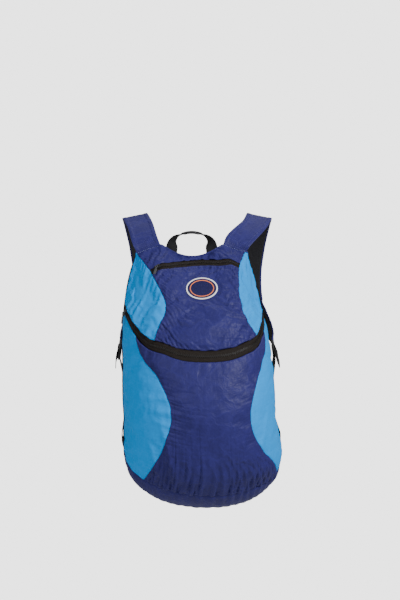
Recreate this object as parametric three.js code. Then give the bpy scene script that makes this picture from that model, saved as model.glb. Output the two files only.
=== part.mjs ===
// Packable backpack, in the form that it has when it is worn.
// Millimetres. +X is to the right seen from behind the wearer, +Y points towards the wearer, +Z is up.
// The origin lies midway between the two crests of the shoulder straps.

import * as THREE from 'three';

// Bag body
const bodyHalfWidth = 130;
const bodyDepth = 146;
const bodyHeight = 342;
const shoulderRise = 50;
const bodyLean = 18;
const frontShift = 25;
const neckDip = 21.5;
const sideStep = 15;
const bottomDrop = 72;
const backDrop = 74;
const bottomBelly = 62;
const bottomSquareness = 0.4;
const sideRoundness = 2.35;
const frontFullness = 0.03;
const strapRootInner = 0.56;
const rootCornerRound = 3;

// Cloth
const clothWall = 1.5;
const seamGap = 0.5;
const seatGap = 0.3;
const backPanelThickness = 3;
const backPanelMargin = 1.2;
const gatherCount = 18;
const gatherHeight = 1.5;
const gatherReach = 70;
const foldHeight = 3;

// Zips
const mainTapeWidth = 16;
const topTapeWidth = 9;
const coilWidth = 5.5;
const coilHeight = 1.4;
const coilSeat = 0.5;
const sliderSeat = 0.5;
const sliderLength = 12;
const sliderWidth = 8;
const sliderHeight = 3;
const pullLength = 20;
const pullWidth = 4.5;
const pullThickness = 1.2;
const mainSliderTurn = -79;
const topSliderTurn = -34;

// Shoulder straps
const strapHalfSpan = 106;
const strapReach = 165;
const strapFall = 222;
const strapWidth = 44;
const strapThickness = 1.8;
const strapHem = 0.5;
const liningThickness = 1.4;
const liningInset = 2.5;
const liningGap = 0.5;
const firstRise = 12;
const firstOut = 1.5;
const firstReach = 3;

// Webbing, buckles and loop
const webbingWidth = 20;
const webbingThickness = 1.3;
const tailLength = 26;
const cornerTurn = 87;
const cornerRise = 0.04;
const edgeRise = 0.06;
const edgeStandoff = 1.5;
const lockWidth = 27;
const lockLength = 24;
const lockThickness = 3.6;
const lockBar = 4;
const lockRound = 3;
const slotClearance = 1.2;
const loopHalfSpan = 34;
const loopRise = 32;
const loopFoot = 16;
const loopReach = 13;

// Badge
const badgeLength = 52;
const badgeHeight = 39;
const badgeThickness = 1;
const badgeTurn = 3.2;
const badgeRise = 0.862;

const navy = 0x38427a;
const turquoise = 0x2596cc;
const black = 0x16161a;
const grey = 0x55565c;
const white = 0xdcdde0;

const degree = Math.PI / 180;
const sideEdge = 90;

// Cross sections of the body from the bottom seam (rise 0) to the top edge (rise 1).
// width, depth and lean are shares of bodyHalfWidth, bodyDepth and bodyLean.
const sections = [
  { rise: 0.0, width: 0.98, depth: 0.66, lean: 0.3 },
  { rise: 0.07, width: 0.985, depth: 0.83, lean: 0.31 },
  { rise: 0.15, width: 0.957, depth: 0.93, lean: 0.14 },
  { rise: 0.24, width: 0.944, depth: 0.985, lean: -0.05 },
  { rise: 0.34, width: 0.94, depth: 1.0, lean: -0.11 },
  { rise: 0.44, width: 0.93, depth: 0.965, lean: -0.17 },
  { rise: 0.55, width: 0.92, depth: 0.895, lean: -0.3 },
  { rise: 0.65, width: 0.895, depth: 0.8, lean: -0.42 },
  { rise: 0.75, width: 0.85, depth: 0.66, lean: -0.55 },
  { rise: 0.83, width: 0.82, depth: 0.52, lean: -0.55 },
  { rise: 0.9, width: 0.785, depth: 0.36, lean: -0.52 },
  { rise: 0.955, width: 0.745, depth: 0.19, lean: -0.5 },
  { rise: 1.0, width: 0.712, depth: 0.02, lean: -0.5 },
];

// Seams between the front and the side panels: degrees round the body at each rise.
const upperSeam = [
  { rise: 0.6, left: -38.5, right: 47.5 },
  { rise: 0.64, left: -35.4, right: 42.3 },
  { rise: 0.68, left: -31.3, right: 37 },
  { rise: 0.73, left: -26.8, right: 34.2 },
  { rise: 0.77, left: -26.8, right: 33.7 },
  { rise: 0.81, left: -31.3, right: 34.4 },
  { rise: 0.875, left: -40, right: 38.4 },
  { rise: 0.91, left: -46, right: 42 },
  { rise: 0.955, left: -58, right: 51.5 },
  { rise: 1.0, left: -76, right: 68 },
];
const lowerSeam = [
  { rise: 0.0, left: -50.1, right: 61 },
  { rise: 0.09, left: -41, right: 49.6 },
  { rise: 0.155, left: -35.1, right: 38.8 },
  { rise: 0.22, left: -30.2, right: 32.3 },
  { rise: 0.275, left: -27.1, right: 29.2 },
  { rise: 0.33, left: -26.7, right: 28.9 },
  { rise: 0.38, left: -29.4, right: 31.6 },
  { rise: 0.43, left: -34.6, right: 36.6 },
  { rise: 0.475, left: -40.2, right: 42 },
  { rise: 0.515, left: -49, right: 47.7 },
  { rise: 0.56, left: -55, right: 54 },
  { rise: 0.6, left: -58.5, right: 59.5 },
];

// Middle lines of the two zips: rise at each turn round the body.
const mainZip = [
  { turn: -90, rise: 0.728 },
  { turn: -76, rise: 0.698 },
  { turn: -63, rise: 0.655 },
  { turn: -50, rise: 0.607 },
  { turn: -40, rise: 0.583 },
  { turn: -23, rise: 0.573 },
  { turn: 0, rise: 0.582 },
  { turn: 23, rise: 0.576 },
  { turn: 35, rise: 0.582 },
  { turn: 45, rise: 0.603 },
  { turn: 57, rise: 0.651 },
  { turn: 70, rise: 0.69 },
  { turn: 90, rise: 0.728 },
];
const topZip = [
  { turn: -50, rise: 0.88 },
  { turn: -38, rise: 0.896 },
  { turn: -26, rise: 0.919 },
  { turn: -11, rise: 0.957 },
  { turn: 5, rise: 0.972 },
  { turn: 24, rise: 0.938 },
  { turn: 36, rise: 0.924 },
  { turn: 50, rise: 0.914 },
];

// Folds of the loose cloth. reach and spread are shares of bodyHalfWidth, height of foldHeight;
// slant is the angle of the fold's line from level, in degrees.
const folds = [
  { turn: -28, rise: 0.14, slant: -72, reach: 0.3, spread: 0.045, height: 1.0 },
  { turn: -40, rise: 0.1, slant: -60, reach: 0.26, spread: 0.05, height: 0.8 },
  { turn: -34, rise: 0.37, slant: 8, reach: 0.2, spread: 0.035, height: 0.6 },
  { turn: -31, rise: 0.32, slant: 4, reach: 0.2, spread: 0.035, height: 0.7 },
  { turn: -32, rise: 0.27, slant: -4, reach: 0.18, spread: 0.035, height: 0.6 },
  { turn: 40, rise: 0.2, slant: 55, reach: 0.3, spread: 0.06, height: 0.7 },
  { turn: -10, rise: 0.45, slant: -12, reach: 0.55, spread: 0.1, height: 0.5 },
  { turn: 18, rise: 0.36, slant: 14, reach: 0.5, spread: 0.11, height: 0.5 },
  { turn: -24, rise: 0.66, slant: -24, reach: 0.34, spread: 0.05, height: 0.7 },
  { turn: -6, rise: 0.7, slant: -14, reach: 0.46, spread: 0.055, height: 0.7 },
  { turn: 16, rise: 0.72, slant: 16, reach: 0.42, spread: 0.055, height: 0.7 },
  { turn: 26, rise: 0.66, slant: 30, reach: 0.36, spread: 0.05, height: 0.6 },
  { turn: -28, rise: 0.82, slant: -34, reach: 0.2, spread: 0.045, height: 0.7 },
  { turn: 29, rise: 0.8, slant: 40, reach: 0.2, spread: 0.05, height: 0.5 },
  { turn: -58, rise: 0.3, slant: 78, reach: 0.7, spread: 0.09, height: 0.6 },
  { turn: 62, rise: 0.34, slant: -80, reach: 0.7, spread: 0.09, height: 0.6 },
];

// Line of a shoulder strap past its root, as shares of strapHalfSpan, strapReach and strapFall.
// faceX, faceY and faceZ give the way that its outer side faces; width is a share of strapWidth.
const strapLine = [
  { x: 0.915, y: 0.22, z: -0.075, faceX: 0.05, faceY: -0.62, faceZ: 0.78, width: 1.0 },
  { x: 1.01, y: 0.436, z: 0.0, faceX: 0.2, faceY: -0.1, faceZ: 0.97, width: 1.0 },
  { x: 0.99, y: 0.7, z: -0.06, faceX: 0.2, faceY: 0.55, faceZ: 0.81, width: 1.0 },
  { x: 0.92, y: 0.9, z: -0.23, faceX: 0.16, faceY: 0.9, faceZ: 0.4, width: 1.0 },
  { x: 0.87, y: 1.0, z: -0.46, faceX: 0.2, faceY: 0.97, faceZ: 0.1, width: 1.0 },
  { x: 0.92, y: 0.985, z: -0.68, faceX: 0.38, faceY: 0.92, faceZ: 0.02, width: 0.98 },
  { x: 1.07, y: 0.85, z: -0.8, faceX: 0.8, faceY: 0.6, faceZ: 0.0, width: 0.92 },
  { x: 1.19, y: 0.67, z: -0.89, faceX: 0.98, faceY: 0.2, faceZ: 0.0, width: 0.8 },
  { x: 1.24, y: 0.56, z: -0.95, faceX: 1.0, faceY: 0.0, faceZ: 0.0, width: 0.66 },
  { x: 1.25, y: 0.48, z: -1.0, faceX: 1.0, faceY: -0.1, faceZ: 0.0, width: 0.56 },
];

// Half of the haul loop, from its foot to its crown: across is a share of loopHalfSpan, back of loopReach
// and rise of loopRise, over the foot's top end. The facings turn from the panel's plane up to the sky.
const loopLine = [
  { across: 1.0, back: 0.06, rise: 0.06, faceX: 0, faceY: 1, faceZ: 0 },
  { across: 0.86, back: 0.38, rise: 0.6, faceX: 0.5, faceY: 0.6, faceZ: 0.55 },
  { across: 0.4, back: 0.92, rise: 0.93, faceX: 0.25, faceY: -0.28, faceZ: 1 },
];
const loopCrown = { across: 0, back: 1, rise: 1, faceX: 0, faceY: -0.28, faceZ: 1 };

// How far the lower end of each strap twists to face back.
const endTwist = { left: -0.1, right: -0.5 };

const bottomZ = -shoulderRise - bodyHeight;
const strapRootZ = -shoulderRise;

// Smooth curve through the rows of a table.
function curveAt(rows, key, place, column) {
  const last = rows.length - 1;
  const slopeAt = (i) => {
    const low = Math.max(i - 1, 0);
    const high = Math.min(i + 1, last);
    return (rows[high][column] - rows[low][column]) / (rows[high][key] - rows[low][key]);
  };
  const at = Math.min(Math.max(place, rows[0][key]), rows[last][key]);
  let i = 0;
  while (i < last - 1 && at > rows[i + 1][key]) i += 1;
  const span = rows[i + 1][key] - rows[i][key];
  const t = (at - rows[i][key]) / span;
  const t2 = t * t;
  const t3 = t2 * t;
  const start = (2 * t3 - 3 * t2 + 1) * rows[i][column] + (t3 - 2 * t2 + t) * span * slopeAt(i);
  return start + (3 * t2 - 2 * t3) * rows[i + 1][column] + (t3 - t2) * span * slopeAt(i + 1);
}

// Height of the folds and gathers at a place on the body.
function clothRelief(turn, rise) {
  let relief = 0;
  for (const fold of folds) {
    const across = (turn - fold.turn) * degree * bodyHalfWidth;
    const up = (rise - fold.rise) * bodyHeight;
    const along = across * Math.cos(fold.slant * degree) + up * Math.sin(fold.slant * degree);
    const aside = up * Math.cos(fold.slant * degree) - across * Math.sin(fold.slant * degree);
    const lengthwise = along / (fold.reach * bodyHalfWidth);
    const sidewise = aside / (fold.spread * bodyHalfWidth);
    relief += fold.height * foldHeight * Math.exp(-lengthwise * lengthwise - sidewise * sidewise);
  }
  const left = curveAt(lowerSeam, 'rise', rise, 'left');
  const right = curveAt(lowerSeam, 'rise', rise, 'right');
  const share = (turn - left) / (right - left);
  const fade = Math.max(0, 1 - (rise * bodyHeight) / gatherReach);
  if (share > 0 && share < 1) {
    const seamFade = Math.sin(Math.PI * share) ** 0.5;
    relief += gatherHeight * fade * seamFade * Math.sin(2 * Math.PI * gatherCount * share);
  }
  return relief;
}

// Point on the bag's smooth outer surface. turn runs from -90 at the left edge of the back panel
// over 0 at the front to 90 at its right edge, rise from 0 at the bottom seam to 1 at the top edge.
function smoothPoint(turn, rise) {
  const across = Math.sin(turn * degree);
  const out = Math.max(Math.cos(turn * degree), 0);
  const sideways = Math.sign(across) * Math.abs(across) ** (2 / sideRoundness);
  const forward = out ** (2 / sideRoundness);
  const halfWidth = bodyHalfWidth * curveAt(sections, 'rise', rise, 'width');
  const depthShare = curveAt(sections, 'rise', rise, 'depth');
  const lean = bodyLean * curveAt(sections, 'rise', rise, 'lean');
  const fullness = 1 + 4 * frontFullness * forward * (1 - forward);
  const top = topEdge(sideways);
  const bottom = bottomZ - bottomDrop * Math.max(0, 1 - sideways * sideways) ** bottomSquareness;
  return new THREE.Vector3(
    lean + halfWidth * sideways * fullness + frontShift * depthShare * forward,
    -bodyDepth * depthShare * forward,
    bottom + (top - bottom) * rise,
  );
}

// Height of the top edge: a dip between the strap roots, then straight down to the sides,
// with the corner between the two rounded.
function topEdge(sideways) {
  const aside = Math.abs(sideways);
  const dip = -neckDip * (1 - (aside / strapRootInner) ** 2);
  const slope = (-sideStep * (aside - strapRootInner)) / (1 - strapRootInner);
  const rounded = Math.exp(-dip / rootCornerRound) + Math.exp(-slope / rootCornerRound);
  return strapRootZ - rootCornerRound * Math.log(rounded);
}

function surfaceNormal(pointAt, u, v, stepU, stepV) {
  const alongU = pointAt(u + stepU, v).sub(pointAt(u - stepU, v));
  const alongV = pointAt(u, v + stepV).sub(pointAt(u, v - stepV));
  return alongU.cross(alongV).normalize();
}

const turnStep = 0.4;
const riseStep = 0.001;

function bodyNormal(turn, rise) {
  const inTurn = Math.min(Math.max(turn, -sideEdge + turnStep), sideEdge - turnStep);
  const inRise = Math.min(Math.max(rise, riseStep), 1 - riseStep);
  return surfaceNormal(smoothPoint, inTurn, inRise, turnStep, riseStep);
}

// Point at a height over the smooth surface, folds included. It never reaches behind the back panel.
function bodyPoint(turn, rise, height = 0) {
  const point = smoothPoint(turn, rise);
  point.addScaledVector(bodyNormal(turn, rise), clothRelief(turn, rise) + height);
  point.y = Math.min(point.y, -seatGap);
  return point;
}

// Closed mesh from its corners and triangles, turned so that its faces point out.
function closedGeometry(points, triangles) {
  let volume = 0;
  for (const [a, b, c] of triangles) volume += points[a].dot(points[b].clone().cross(points[c]));
  const index = triangles.flatMap(([a, b, c]) => (volume > 0 ? [a, b, c] : [a, c, b]));
  const geometry = new THREE.BufferGeometry();
  const places = points.flatMap((p) => [p.x, p.y, p.z]);
  geometry.setAttribute('position', new THREE.Float32BufferAttribute(places, 3));
  geometry.setIndex(index);
  geometry.computeVertexNormals();
  return geometry;
}

// Wall between an outer and an inner grid of points.
function slab(outer, inner) {
  const rows = outer.length;
  const columns = outer[0].length;
  const points = [...outer.flat(), ...inner.flat()];
  const half = rows * columns;
  const triangles = [];
  const quad = (a, b, c, d) => triangles.push([a, b, c], [a, c, d]);
  const at = (row, column) => row * columns + column;
  for (let row = 0; row < rows - 1; row += 1) {
    for (let column = 0; column < columns - 1; column += 1) {
      const [a, b] = [at(row, column), at(row, column + 1)];
      const [c, d] = [at(row + 1, column + 1), at(row + 1, column)];
      quad(a, b, c, d);
      quad(a + half, d + half, c + half, b + half);
    }
  }
  for (let column = 0; column < columns - 1; column += 1) {
    const [a, b] = [at(0, column), at(0, column + 1)];
    const [c, d] = [at(rows - 1, column), at(rows - 1, column + 1)];
    quad(b, a, a + half, b + half);
    quad(c, d, d + half, c + half);
  }
  for (let row = 0; row < rows - 1; row += 1) {
    const [a, b] = [at(row, 0), at(row + 1, 0)];
    const [c, d] = [at(row, columns - 1), at(row + 1, columns - 1)];
    quad(a, b, b + half, a + half);
    quad(d, c, c + half, d + half);
  }
  return closedGeometry(points, triangles);
}

const backpack = new THREE.Group();
backpack.name = 'packable_backpack';

function addMesh(name, geometry, color, roughness) {
  const material = new THREE.MeshStandardMaterial({ color, roughness, metalness: 0 });
  const mesh = new THREE.Mesh(geometry, material);
  mesh.name = name;
  backpack.add(mesh);
  return mesh;
}

const clothRoughness = 0.55;
const webbingRoughness = 0.8;
const plasticRoughness = 0.4;

const turnGap = seamGap / 2 / bodyHalfWidth / degree;
const riseGap = seamGap / 2 / bodyHeight;

const spread = (from, to, count) => (
  Array.from({ length: count + 1 }, (_, i) => from + ((to - from) * i) / count)
);
const zipLine = (table, offset) => (turn) => curveAt(table, 'turn', turn, 'rise') + offset / bodyHeight;
const seamLine = (table, side) => (rise) => curveAt(table, 'rise', rise, side);

// Rise at which a seam meets the edge of a zip.
function meeting(seam, edge) {
  const tries = 20;
  let rise = edge(0);
  for (let i = 0; i < tries; i += 1) rise = edge(seam(rise));
  return rise;
}

// Inset of a panel's side that keeps the seam's gap square to a slanted seam.
function seamInset(seam, rise) {
  const change = (seam(rise + riseStep) - seam(rise - riseStep)) / (2 * riseStep);
  const slope = (change * degree * bodyHalfWidth) / bodyHeight;
  return turnGap * Math.hypot(1, slope);
}

// Cloth panel between two edges that run round the body and two that run up it.
// leftRises and rightRises place the rows along the two sides.
function panelGeometry({ lower, upper, left, right, leftRises, rightRises, columns }) {
  const rows = leftRises.length - 1;
  const grid = (height) => leftRises.map((leftRise, row) => {
    const rightRise = rightRises[row];
    const up = row / rows;
    return spread(0, 1, columns).map((along) => {
      const turnAt = (a, b) => {
        const from = left(a) + seamInset(left, a);
        const to = right(b) - seamInset(right, b);
        return from + (to - from) * along;
      };
      const turn = turnAt(leftRise, rightRise);
      const lowLine = leftRises[0] + (rightRises[0] - leftRises[0]) * along;
      const highLine = leftRises[rows] + (rightRises[rows] - leftRises[rows]) * along;
      const lowEdge = lower(turnAt(leftRises[0], rightRises[0])) + riseGap;
      const highEdge = upper(turnAt(leftRises[rows], rightRises[rows])) - riseGap;
      const straight = leftRise + (rightRise - leftRise) * along;
      const rise = straight + (1 - up) * (lowEdge - lowLine) + up * (highEdge - highLine);
      return bodyPoint(turn, rise, height);
    });
  });
  return slab(grid(0), grid(-clothWall));
}

const mainLower = zipLine(mainZip, -mainTapeWidth / 2);
const mainUpper = zipLine(mainZip, mainTapeWidth / 2);
const topLower = zipLine(topZip, -topTapeWidth / 2);
const topUpper = zipLine(topZip, topTapeWidth / 2);
const bottomEdge = () => 0;
const topLine = () => 1;
const leftEdge = () => -sideEdge - turnGap;
const rightEdge = () => sideEdge + turnGap;

const upperLeft = seamLine(upperSeam, 'left');
const upperRight = seamLine(upperSeam, 'right');
const lowerLeft = seamLine(lowerSeam, 'left');
const lowerRight = seamLine(lowerSeam, 'right');

const upperRows = 10;
const yokeRows = 3;
const lowerRows = 11;
const upperColumns = 22;
const lowerColumns = 3 * gatherCount;
const sideColumns = 6;
const zipColumns = 44;

const upperFrontRises = (seam) => spread(meeting(seam, mainUpper), meeting(seam, topLower), upperRows);
const yokeRises = (seam) => spread(meeting(seam, topUpper), 1, yokeRows);
const lowerRises = (seam) => spread(0, meeting(seam, mainLower), lowerRows);

function addFrontPanels() {
  addMesh('upper_front_panel', panelGeometry({
    lower: mainUpper,
    upper: topLower,
    left: upperLeft,
    right: upperRight,
    leftRises: upperFrontRises(upperLeft),
    rightRises: upperFrontRises(upperRight),
    columns: upperColumns,
  }), navy, clothRoughness);
  addMesh('yoke', panelGeometry({
    lower: topUpper,
    upper: topLine,
    left: upperLeft,
    right: upperRight,
    leftRises: yokeRises(upperLeft),
    rightRises: yokeRises(upperRight),
    columns: upperColumns,
  }), navy, clothRoughness);
  addMesh('lower_front_panel', panelGeometry({
    lower: bottomEdge,
    upper: mainLower,
    left: lowerLeft,
    right: lowerRight,
    leftRises: lowerRises(lowerLeft),
    rightRises: lowerRises(lowerRight),
    columns: lowerColumns,
  }), navy, clothRoughness);
}

function addSidePanels() {
  const upperRises = (seam) => [...upperFrontRises(seam), ...yokeRises(seam)];
  const upperEdgeRises = (turn) => spread(mainUpper(turn), 1, upperRows + yokeRows + 1);
  const lowerEdgeRises = (turn) => spread(0, mainLower(turn), lowerRows);
  addMesh('upper_side_panel_left', panelGeometry({
    lower: mainUpper,
    upper: topLine,
    left: leftEdge,
    right: upperLeft,
    leftRises: upperEdgeRises(-sideEdge),
    rightRises: upperRises(upperLeft),
    columns: sideColumns,
  }), turquoise, clothRoughness);
  addMesh('upper_side_panel_right', panelGeometry({
    lower: mainUpper,
    upper: topLine,
    left: upperRight,
    right: rightEdge,
    leftRises: upperRises(upperRight),
    rightRises: upperEdgeRises(sideEdge),
    columns: sideColumns,
  }), turquoise, clothRoughness);
  addMesh('lower_side_panel_left', panelGeometry({
    lower: bottomEdge,
    upper: mainLower,
    left: leftEdge,
    right: lowerLeft,
    leftRises: lowerEdgeRises(-sideEdge),
    rightRises: lowerRises(lowerLeft),
    columns: sideColumns,
  }), turquoise, clothRoughness);
  addMesh('lower_side_panel_right', panelGeometry({
    lower: bottomEdge,
    upper: mainLower,
    left: lowerRight,
    right: rightEdge,
    leftRises: lowerRises(lowerRight),
    rightRises: lowerEdgeRises(sideEdge),
    columns: sideColumns,
  }), turquoise, clothRoughness);
}

// Underside: each strip leaves the bottom seam in the body's own direction and ends at the back panel.
const bottomColumns = 38;
const bottomRows = 5;
const bottomEndTurn = 89.2;

function bottomCurve(turn, along) {
  const front = smoothPoint(turn, 0);
  const down = front.clone().sub(smoothPoint(turn, riseStep)).normalize();
  const depthHere = -front.y;
  const fullDepth = bodyDepth * sections[0].depth;
  front.addScaledVector(down, seamGap);
  const pull = front.clone().addScaledVector(down, (bottomBelly * depthHere) / fullDepth);
  const sideways = Math.sign(turn) * Math.abs(Math.sin(turn * degree)) ** (2 / sideRoundness);
  const back = new THREE.Vector3(
    bodyLean * sections[0].lean + bodyHalfWidth * sections[0].width * sideways,
    0,
    bottomZ - backDrop * Math.max(0, 1 - sideways * sideways) ** bottomSquareness,
  );
  const rest = 1 - along;
  front.multiplyScalar(rest * rest);
  return front.addScaledVector(pull, 2 * rest * along).addScaledVector(back, along * along);
}

function addBottomPanel() {
  const alongStep = 0.01;
  const grid = (height) => spread(0, 1, bottomRows).map((along) => (
    spread(-bottomEndTurn, bottomEndTurn, bottomColumns).map((turn) => {
      const inAlong = Math.min(Math.max(along, alongStep), 1 - alongStep);
      const normal = surfaceNormal(bottomCurve, turn, inAlong, turnStep, alongStep).negate();
      const fade = 1 - along;
      const lift = clothRelief(turn, 0) * fade * fade;
      const point = bottomCurve(turn, along).addScaledVector(normal, lift + height);
      point.y = Math.min(point.y, -seatGap);
      return point;
    })
  ));
  addMesh('bottom_panel', slab(grid(0), grid(-clothWall)), navy, clothRoughness);
}

// Flat panel against the back, a little wider than the body so that its bound edge shows.
function addBackPanel() {
  const shape = new THREE.Shape();
  const outline = [];
  const sideSteps = 16;
  const topSteps = 18;
  const bottomSteps = 26;
  for (const rise of spread(0, 1, sideSteps)) {
    const edge = smoothPoint(sideEdge, rise);
    outline.push([edge.x + backPanelMargin, edge.z]);
  }
  const topCentre = bodyLean * sections.at(-1).lean;
  const topHalf = bodyHalfWidth * sections.at(-1).width;
  for (const sideways of spread(1, -1, topSteps)) {
    outline.push([topCentre + topHalf * sideways, topEdge(sideways)]);
  }
  for (const rise of spread(1, 0, sideSteps)) {
    const edge = smoothPoint(-sideEdge, rise);
    outline.push([edge.x - backPanelMargin, edge.z]);
  }
  const bottomCentre = bodyLean * sections[0].lean;
  const bottomHalf = bodyHalfWidth * sections[0].width;
  for (const angle of spread(180, 360, bottomSteps).slice(1, -1)) {
    const sideways = Math.cos(angle * degree);
    const drop = backDrop * Math.abs(Math.sin(angle * degree)) ** (2 * bottomSquareness);
    outline.push([bottomCentre + bottomHalf * sideways, bottomZ - drop]);
  }
  outline.forEach(([x, z], i) => (i ? shape.lineTo(x, z) : shape.moveTo(x, z)));
  const geometry = new THREE.ExtrudeGeometry(shape, { depth: backPanelThickness, bevelEnabled: false });
  geometry.rotateX(90 * degree);
  geometry.translate(0, backPanelThickness, 0);
  addMesh('back_panel', geometry, black, webbingRoughness);
}

// Row of teeth as one strip that follows a zip's middle line on its tape.
function coilStrip(table, from, to, columns) {
  const half = coilWidth / 2 / bodyHeight;
  const grid = (height) => [-half, half].map((offset) => spread(from, to, columns).map((turn) => (
    bodyPoint(turn, curveAt(table, 'turn', turn, 'rise') + offset, height)
  )));
  return slab(grid(coilSeat + coilHeight), grid(coilSeat));
}

// Place on the body with the directions along a zip, across it and outwards.
function zipFrame(table, turn, height) {
  const riseAt = (t) => curveAt(table, 'turn', t, 'rise');
  const origin = bodyPoint(turn, riseAt(turn), height);
  const out = bodyNormal(turn, riseAt(turn));
  const ahead = bodyPoint(turn + turnStep, riseAt(turn + turnStep));
  const along = ahead.sub(bodyPoint(turn - turnStep, riseAt(turn - turnStep)));
  along.addScaledVector(out, -along.dot(out)).normalize();
  const across = out.clone().cross(along).normalize();
  return new THREE.Matrix4().makeBasis(along, across, out).setPosition(origin);
}

function roundedShape(length, width, radius) {
  const [x, y] = [length / 2, width / 2];
  const shape = new THREE.Shape();
  shape.moveTo(-x + radius, -y);
  shape.lineTo(x - radius, -y);
  shape.absarc(x - radius, -y + radius, radius, -Math.PI / 2, 0);
  shape.lineTo(x, y - radius);
  shape.absarc(x - radius, y - radius, radius, 0, Math.PI / 2);
  shape.lineTo(-x + radius, y);
  shape.absarc(-x + radius, y - radius, radius, Math.PI / 2, Math.PI);
  shape.lineTo(-x, -y + radius);
  shape.absarc(-x + radius, -y + radius, radius, Math.PI, 1.5 * Math.PI);
  return shape;
}

const arcSteps = 3;

function plateGeometry(shape, thickness) {
  const settings = { depth: thickness, bevelEnabled: false, curveSegments: arcSteps };
  return new THREE.ExtrudeGeometry(shape, settings);
}

// Slider over the coil, and the pull that hangs from it.
function addSlider(name, table, turn) {
  const seat = coilSeat + coilHeight + sliderSeat;
  const corner = sliderWidth / 3;
  const slider = plateGeometry(roundedShape(sliderLength, sliderWidth, corner), sliderHeight);
  slider.applyMatrix4(zipFrame(table, turn, seat));
  addMesh(`${name}_slider`, slider, black, plasticRoughness);
  const frame = zipFrame(table, turn, seat + sliderHeight + seatGap);
  const out = new THREE.Vector3().setFromMatrixColumn(frame, 2);
  const origin = new THREE.Vector3().setFromMatrixPosition(frame);
  const hang = new THREE.Vector3(0, 0, -1);
  hang.addScaledVector(out, -hang.dot(out)).normalize();
  const side = hang.clone().cross(out).normalize();
  const pull = plateGeometry(roundedShape(pullWidth, pullLength, pullWidth / 3), pullThickness);
  pull.translate(0, -pullLength / 2 + pullWidth / 2, 0);
  const up = hang.clone().negate();
  pull.applyMatrix4(new THREE.Matrix4().makeBasis(side.negate(), up, out).setPosition(origin));
  addMesh(`${name}_pull`, pull, grey, plasticRoughness);
}

function addZips() {
  const coilEnd = 88.5;
  const topMiddle = zipLine(topZip, 0);
  const topRises = (seam) => [topLower, topMiddle, topUpper].map((edge) => meeting(seam, edge));
  const mainRises = (turn) => spread(mainLower(turn), mainUpper(turn), 2);
  const topEnd = (seam) => seam(meeting(seam, topMiddle));
  const endMargin = 2.5;
  const topCoilEnds = [topEnd(upperLeft) + endMargin, topEnd(upperRight) - endMargin];
  addMesh('main_zipper_tape', panelGeometry({
    lower: mainLower,
    upper: mainUpper,
    left: leftEdge,
    right: rightEdge,
    leftRises: mainRises(-sideEdge),
    rightRises: mainRises(sideEdge),
    columns: zipColumns,
  }), black, webbingRoughness);
  addMesh('top_zipper_tape', panelGeometry({
    lower: topLower,
    upper: topUpper,
    left: upperLeft,
    right: upperRight,
    leftRises: topRises(upperLeft),
    rightRises: topRises(upperRight),
    columns: upperColumns,
  }), black, webbingRoughness);
  addMesh('main_zipper_coil', coilStrip(mainZip, -coilEnd, coilEnd, zipColumns), black, plasticRoughness);
  addMesh('top_zipper_coil', coilStrip(topZip, ...topCoilEnds, upperColumns), black, plasticRoughness);
  addSlider('main_zipper', mainZip, mainSliderTurn);
  addSlider('top_zipper', topZip, topSliderTurn);
}

function addBadge() {
  const [columns, rows] = [10, 6];
  const middle = smoothPoint(badgeTurn, badgeRise);
  const turnLength = smoothPoint(badgeTurn + 1, badgeRise).distanceTo(middle);
  const riseLength = smoothPoint(badgeTurn, badgeRise + riseStep).distanceTo(middle) / riseStep;
  const grid = (height) => spread(-1, 1, rows).map((b) => spread(-1, 1, columns).map((a) => {
    const across = (badgeLength / 2) * a * Math.sqrt(1 - (b * b) / 2);
    const up = (badgeHeight / 2) * b * Math.sqrt(1 - (a * a) / 2);
    return bodyPoint(badgeTurn + across / turnLength, badgeRise + up / riseLength, height);
  }));
  const corner = 2 * seatGap;
  addMesh('badge', slab(grid(corner + badgeThickness), grid(corner)), white, webbingRoughness);
}

// Band with a rectangular section along stations of place, facing and width.
// edges lists the shares of the half width at which it has a corner, with the extra height there.
function band(stations, thickness, edges, sink = 0) {
  const grid = (side) => stations.map(({ place, facing, across, width }) => edges.map(({ share, extra }) => (
    place.clone()
      .addScaledVector(across, (share * width) / 2)
      .addScaledVector(facing, side * (thickness / 2 + extra) - sink)
  )));
  return slab(grid(1), grid(-1));
}

const flatEdges = [{ share: -1, extra: 0 }, { share: 1, extra: 0 }];

// Stations along a smooth line through the rows, each with directions square to the line.
function stationsAlong(rows, count) {
  const curve = new THREE.CatmullRomCurve3(rows.map((row) => row.place), false, 'centripetal');
  return spread(0, 1, count).map((t) => {
    const place = curve.getPoint(t);
    const tangent = curve.getTangent(t);
    const at = t * (rows.length - 1);
    const i = Math.min(Math.floor(at), rows.length - 2);
    const facing = rows[i].facing.clone().lerp(rows[i + 1].facing, at - i);
    const width = rows[i].width + (rows[i + 1].width - rows[i].width) * (at - i);
    facing.addScaledVector(tangent, -facing.dot(tangent)).normalize();
    return { place, facing, tangent, across: tangent.clone().cross(facing), width };
  });
}

const strapStations = 32;
const strapEdges = [
  { share: -1, extra: strapHem / 2 },
  { share: -0.7, extra: 0 },
  { share: 0.7, extra: 0 },
  { share: 1, extra: strapHem / 2 },
];
const liningEdges = [
  { share: -1, extra: 0 },
  { share: -0.7, extra: 0 },
  { share: 0.7, extra: 0 },
  { share: 1, extra: 0 },
];

// Ends of the top edge between which a strap is sewn on.
function strapRoot(sign) {
  const half = bodyHalfWidth * sections.at(-1).width;
  const centre = bodyLean * sections.at(-1).lean;
  const inner = new THREE.Vector3(centre + sign * half * strapRootInner, 0, strapRootZ);
  const outer = new THREE.Vector3(centre + sign * half, 0, topEdge(1));
  return { inner, outer };
}

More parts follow.
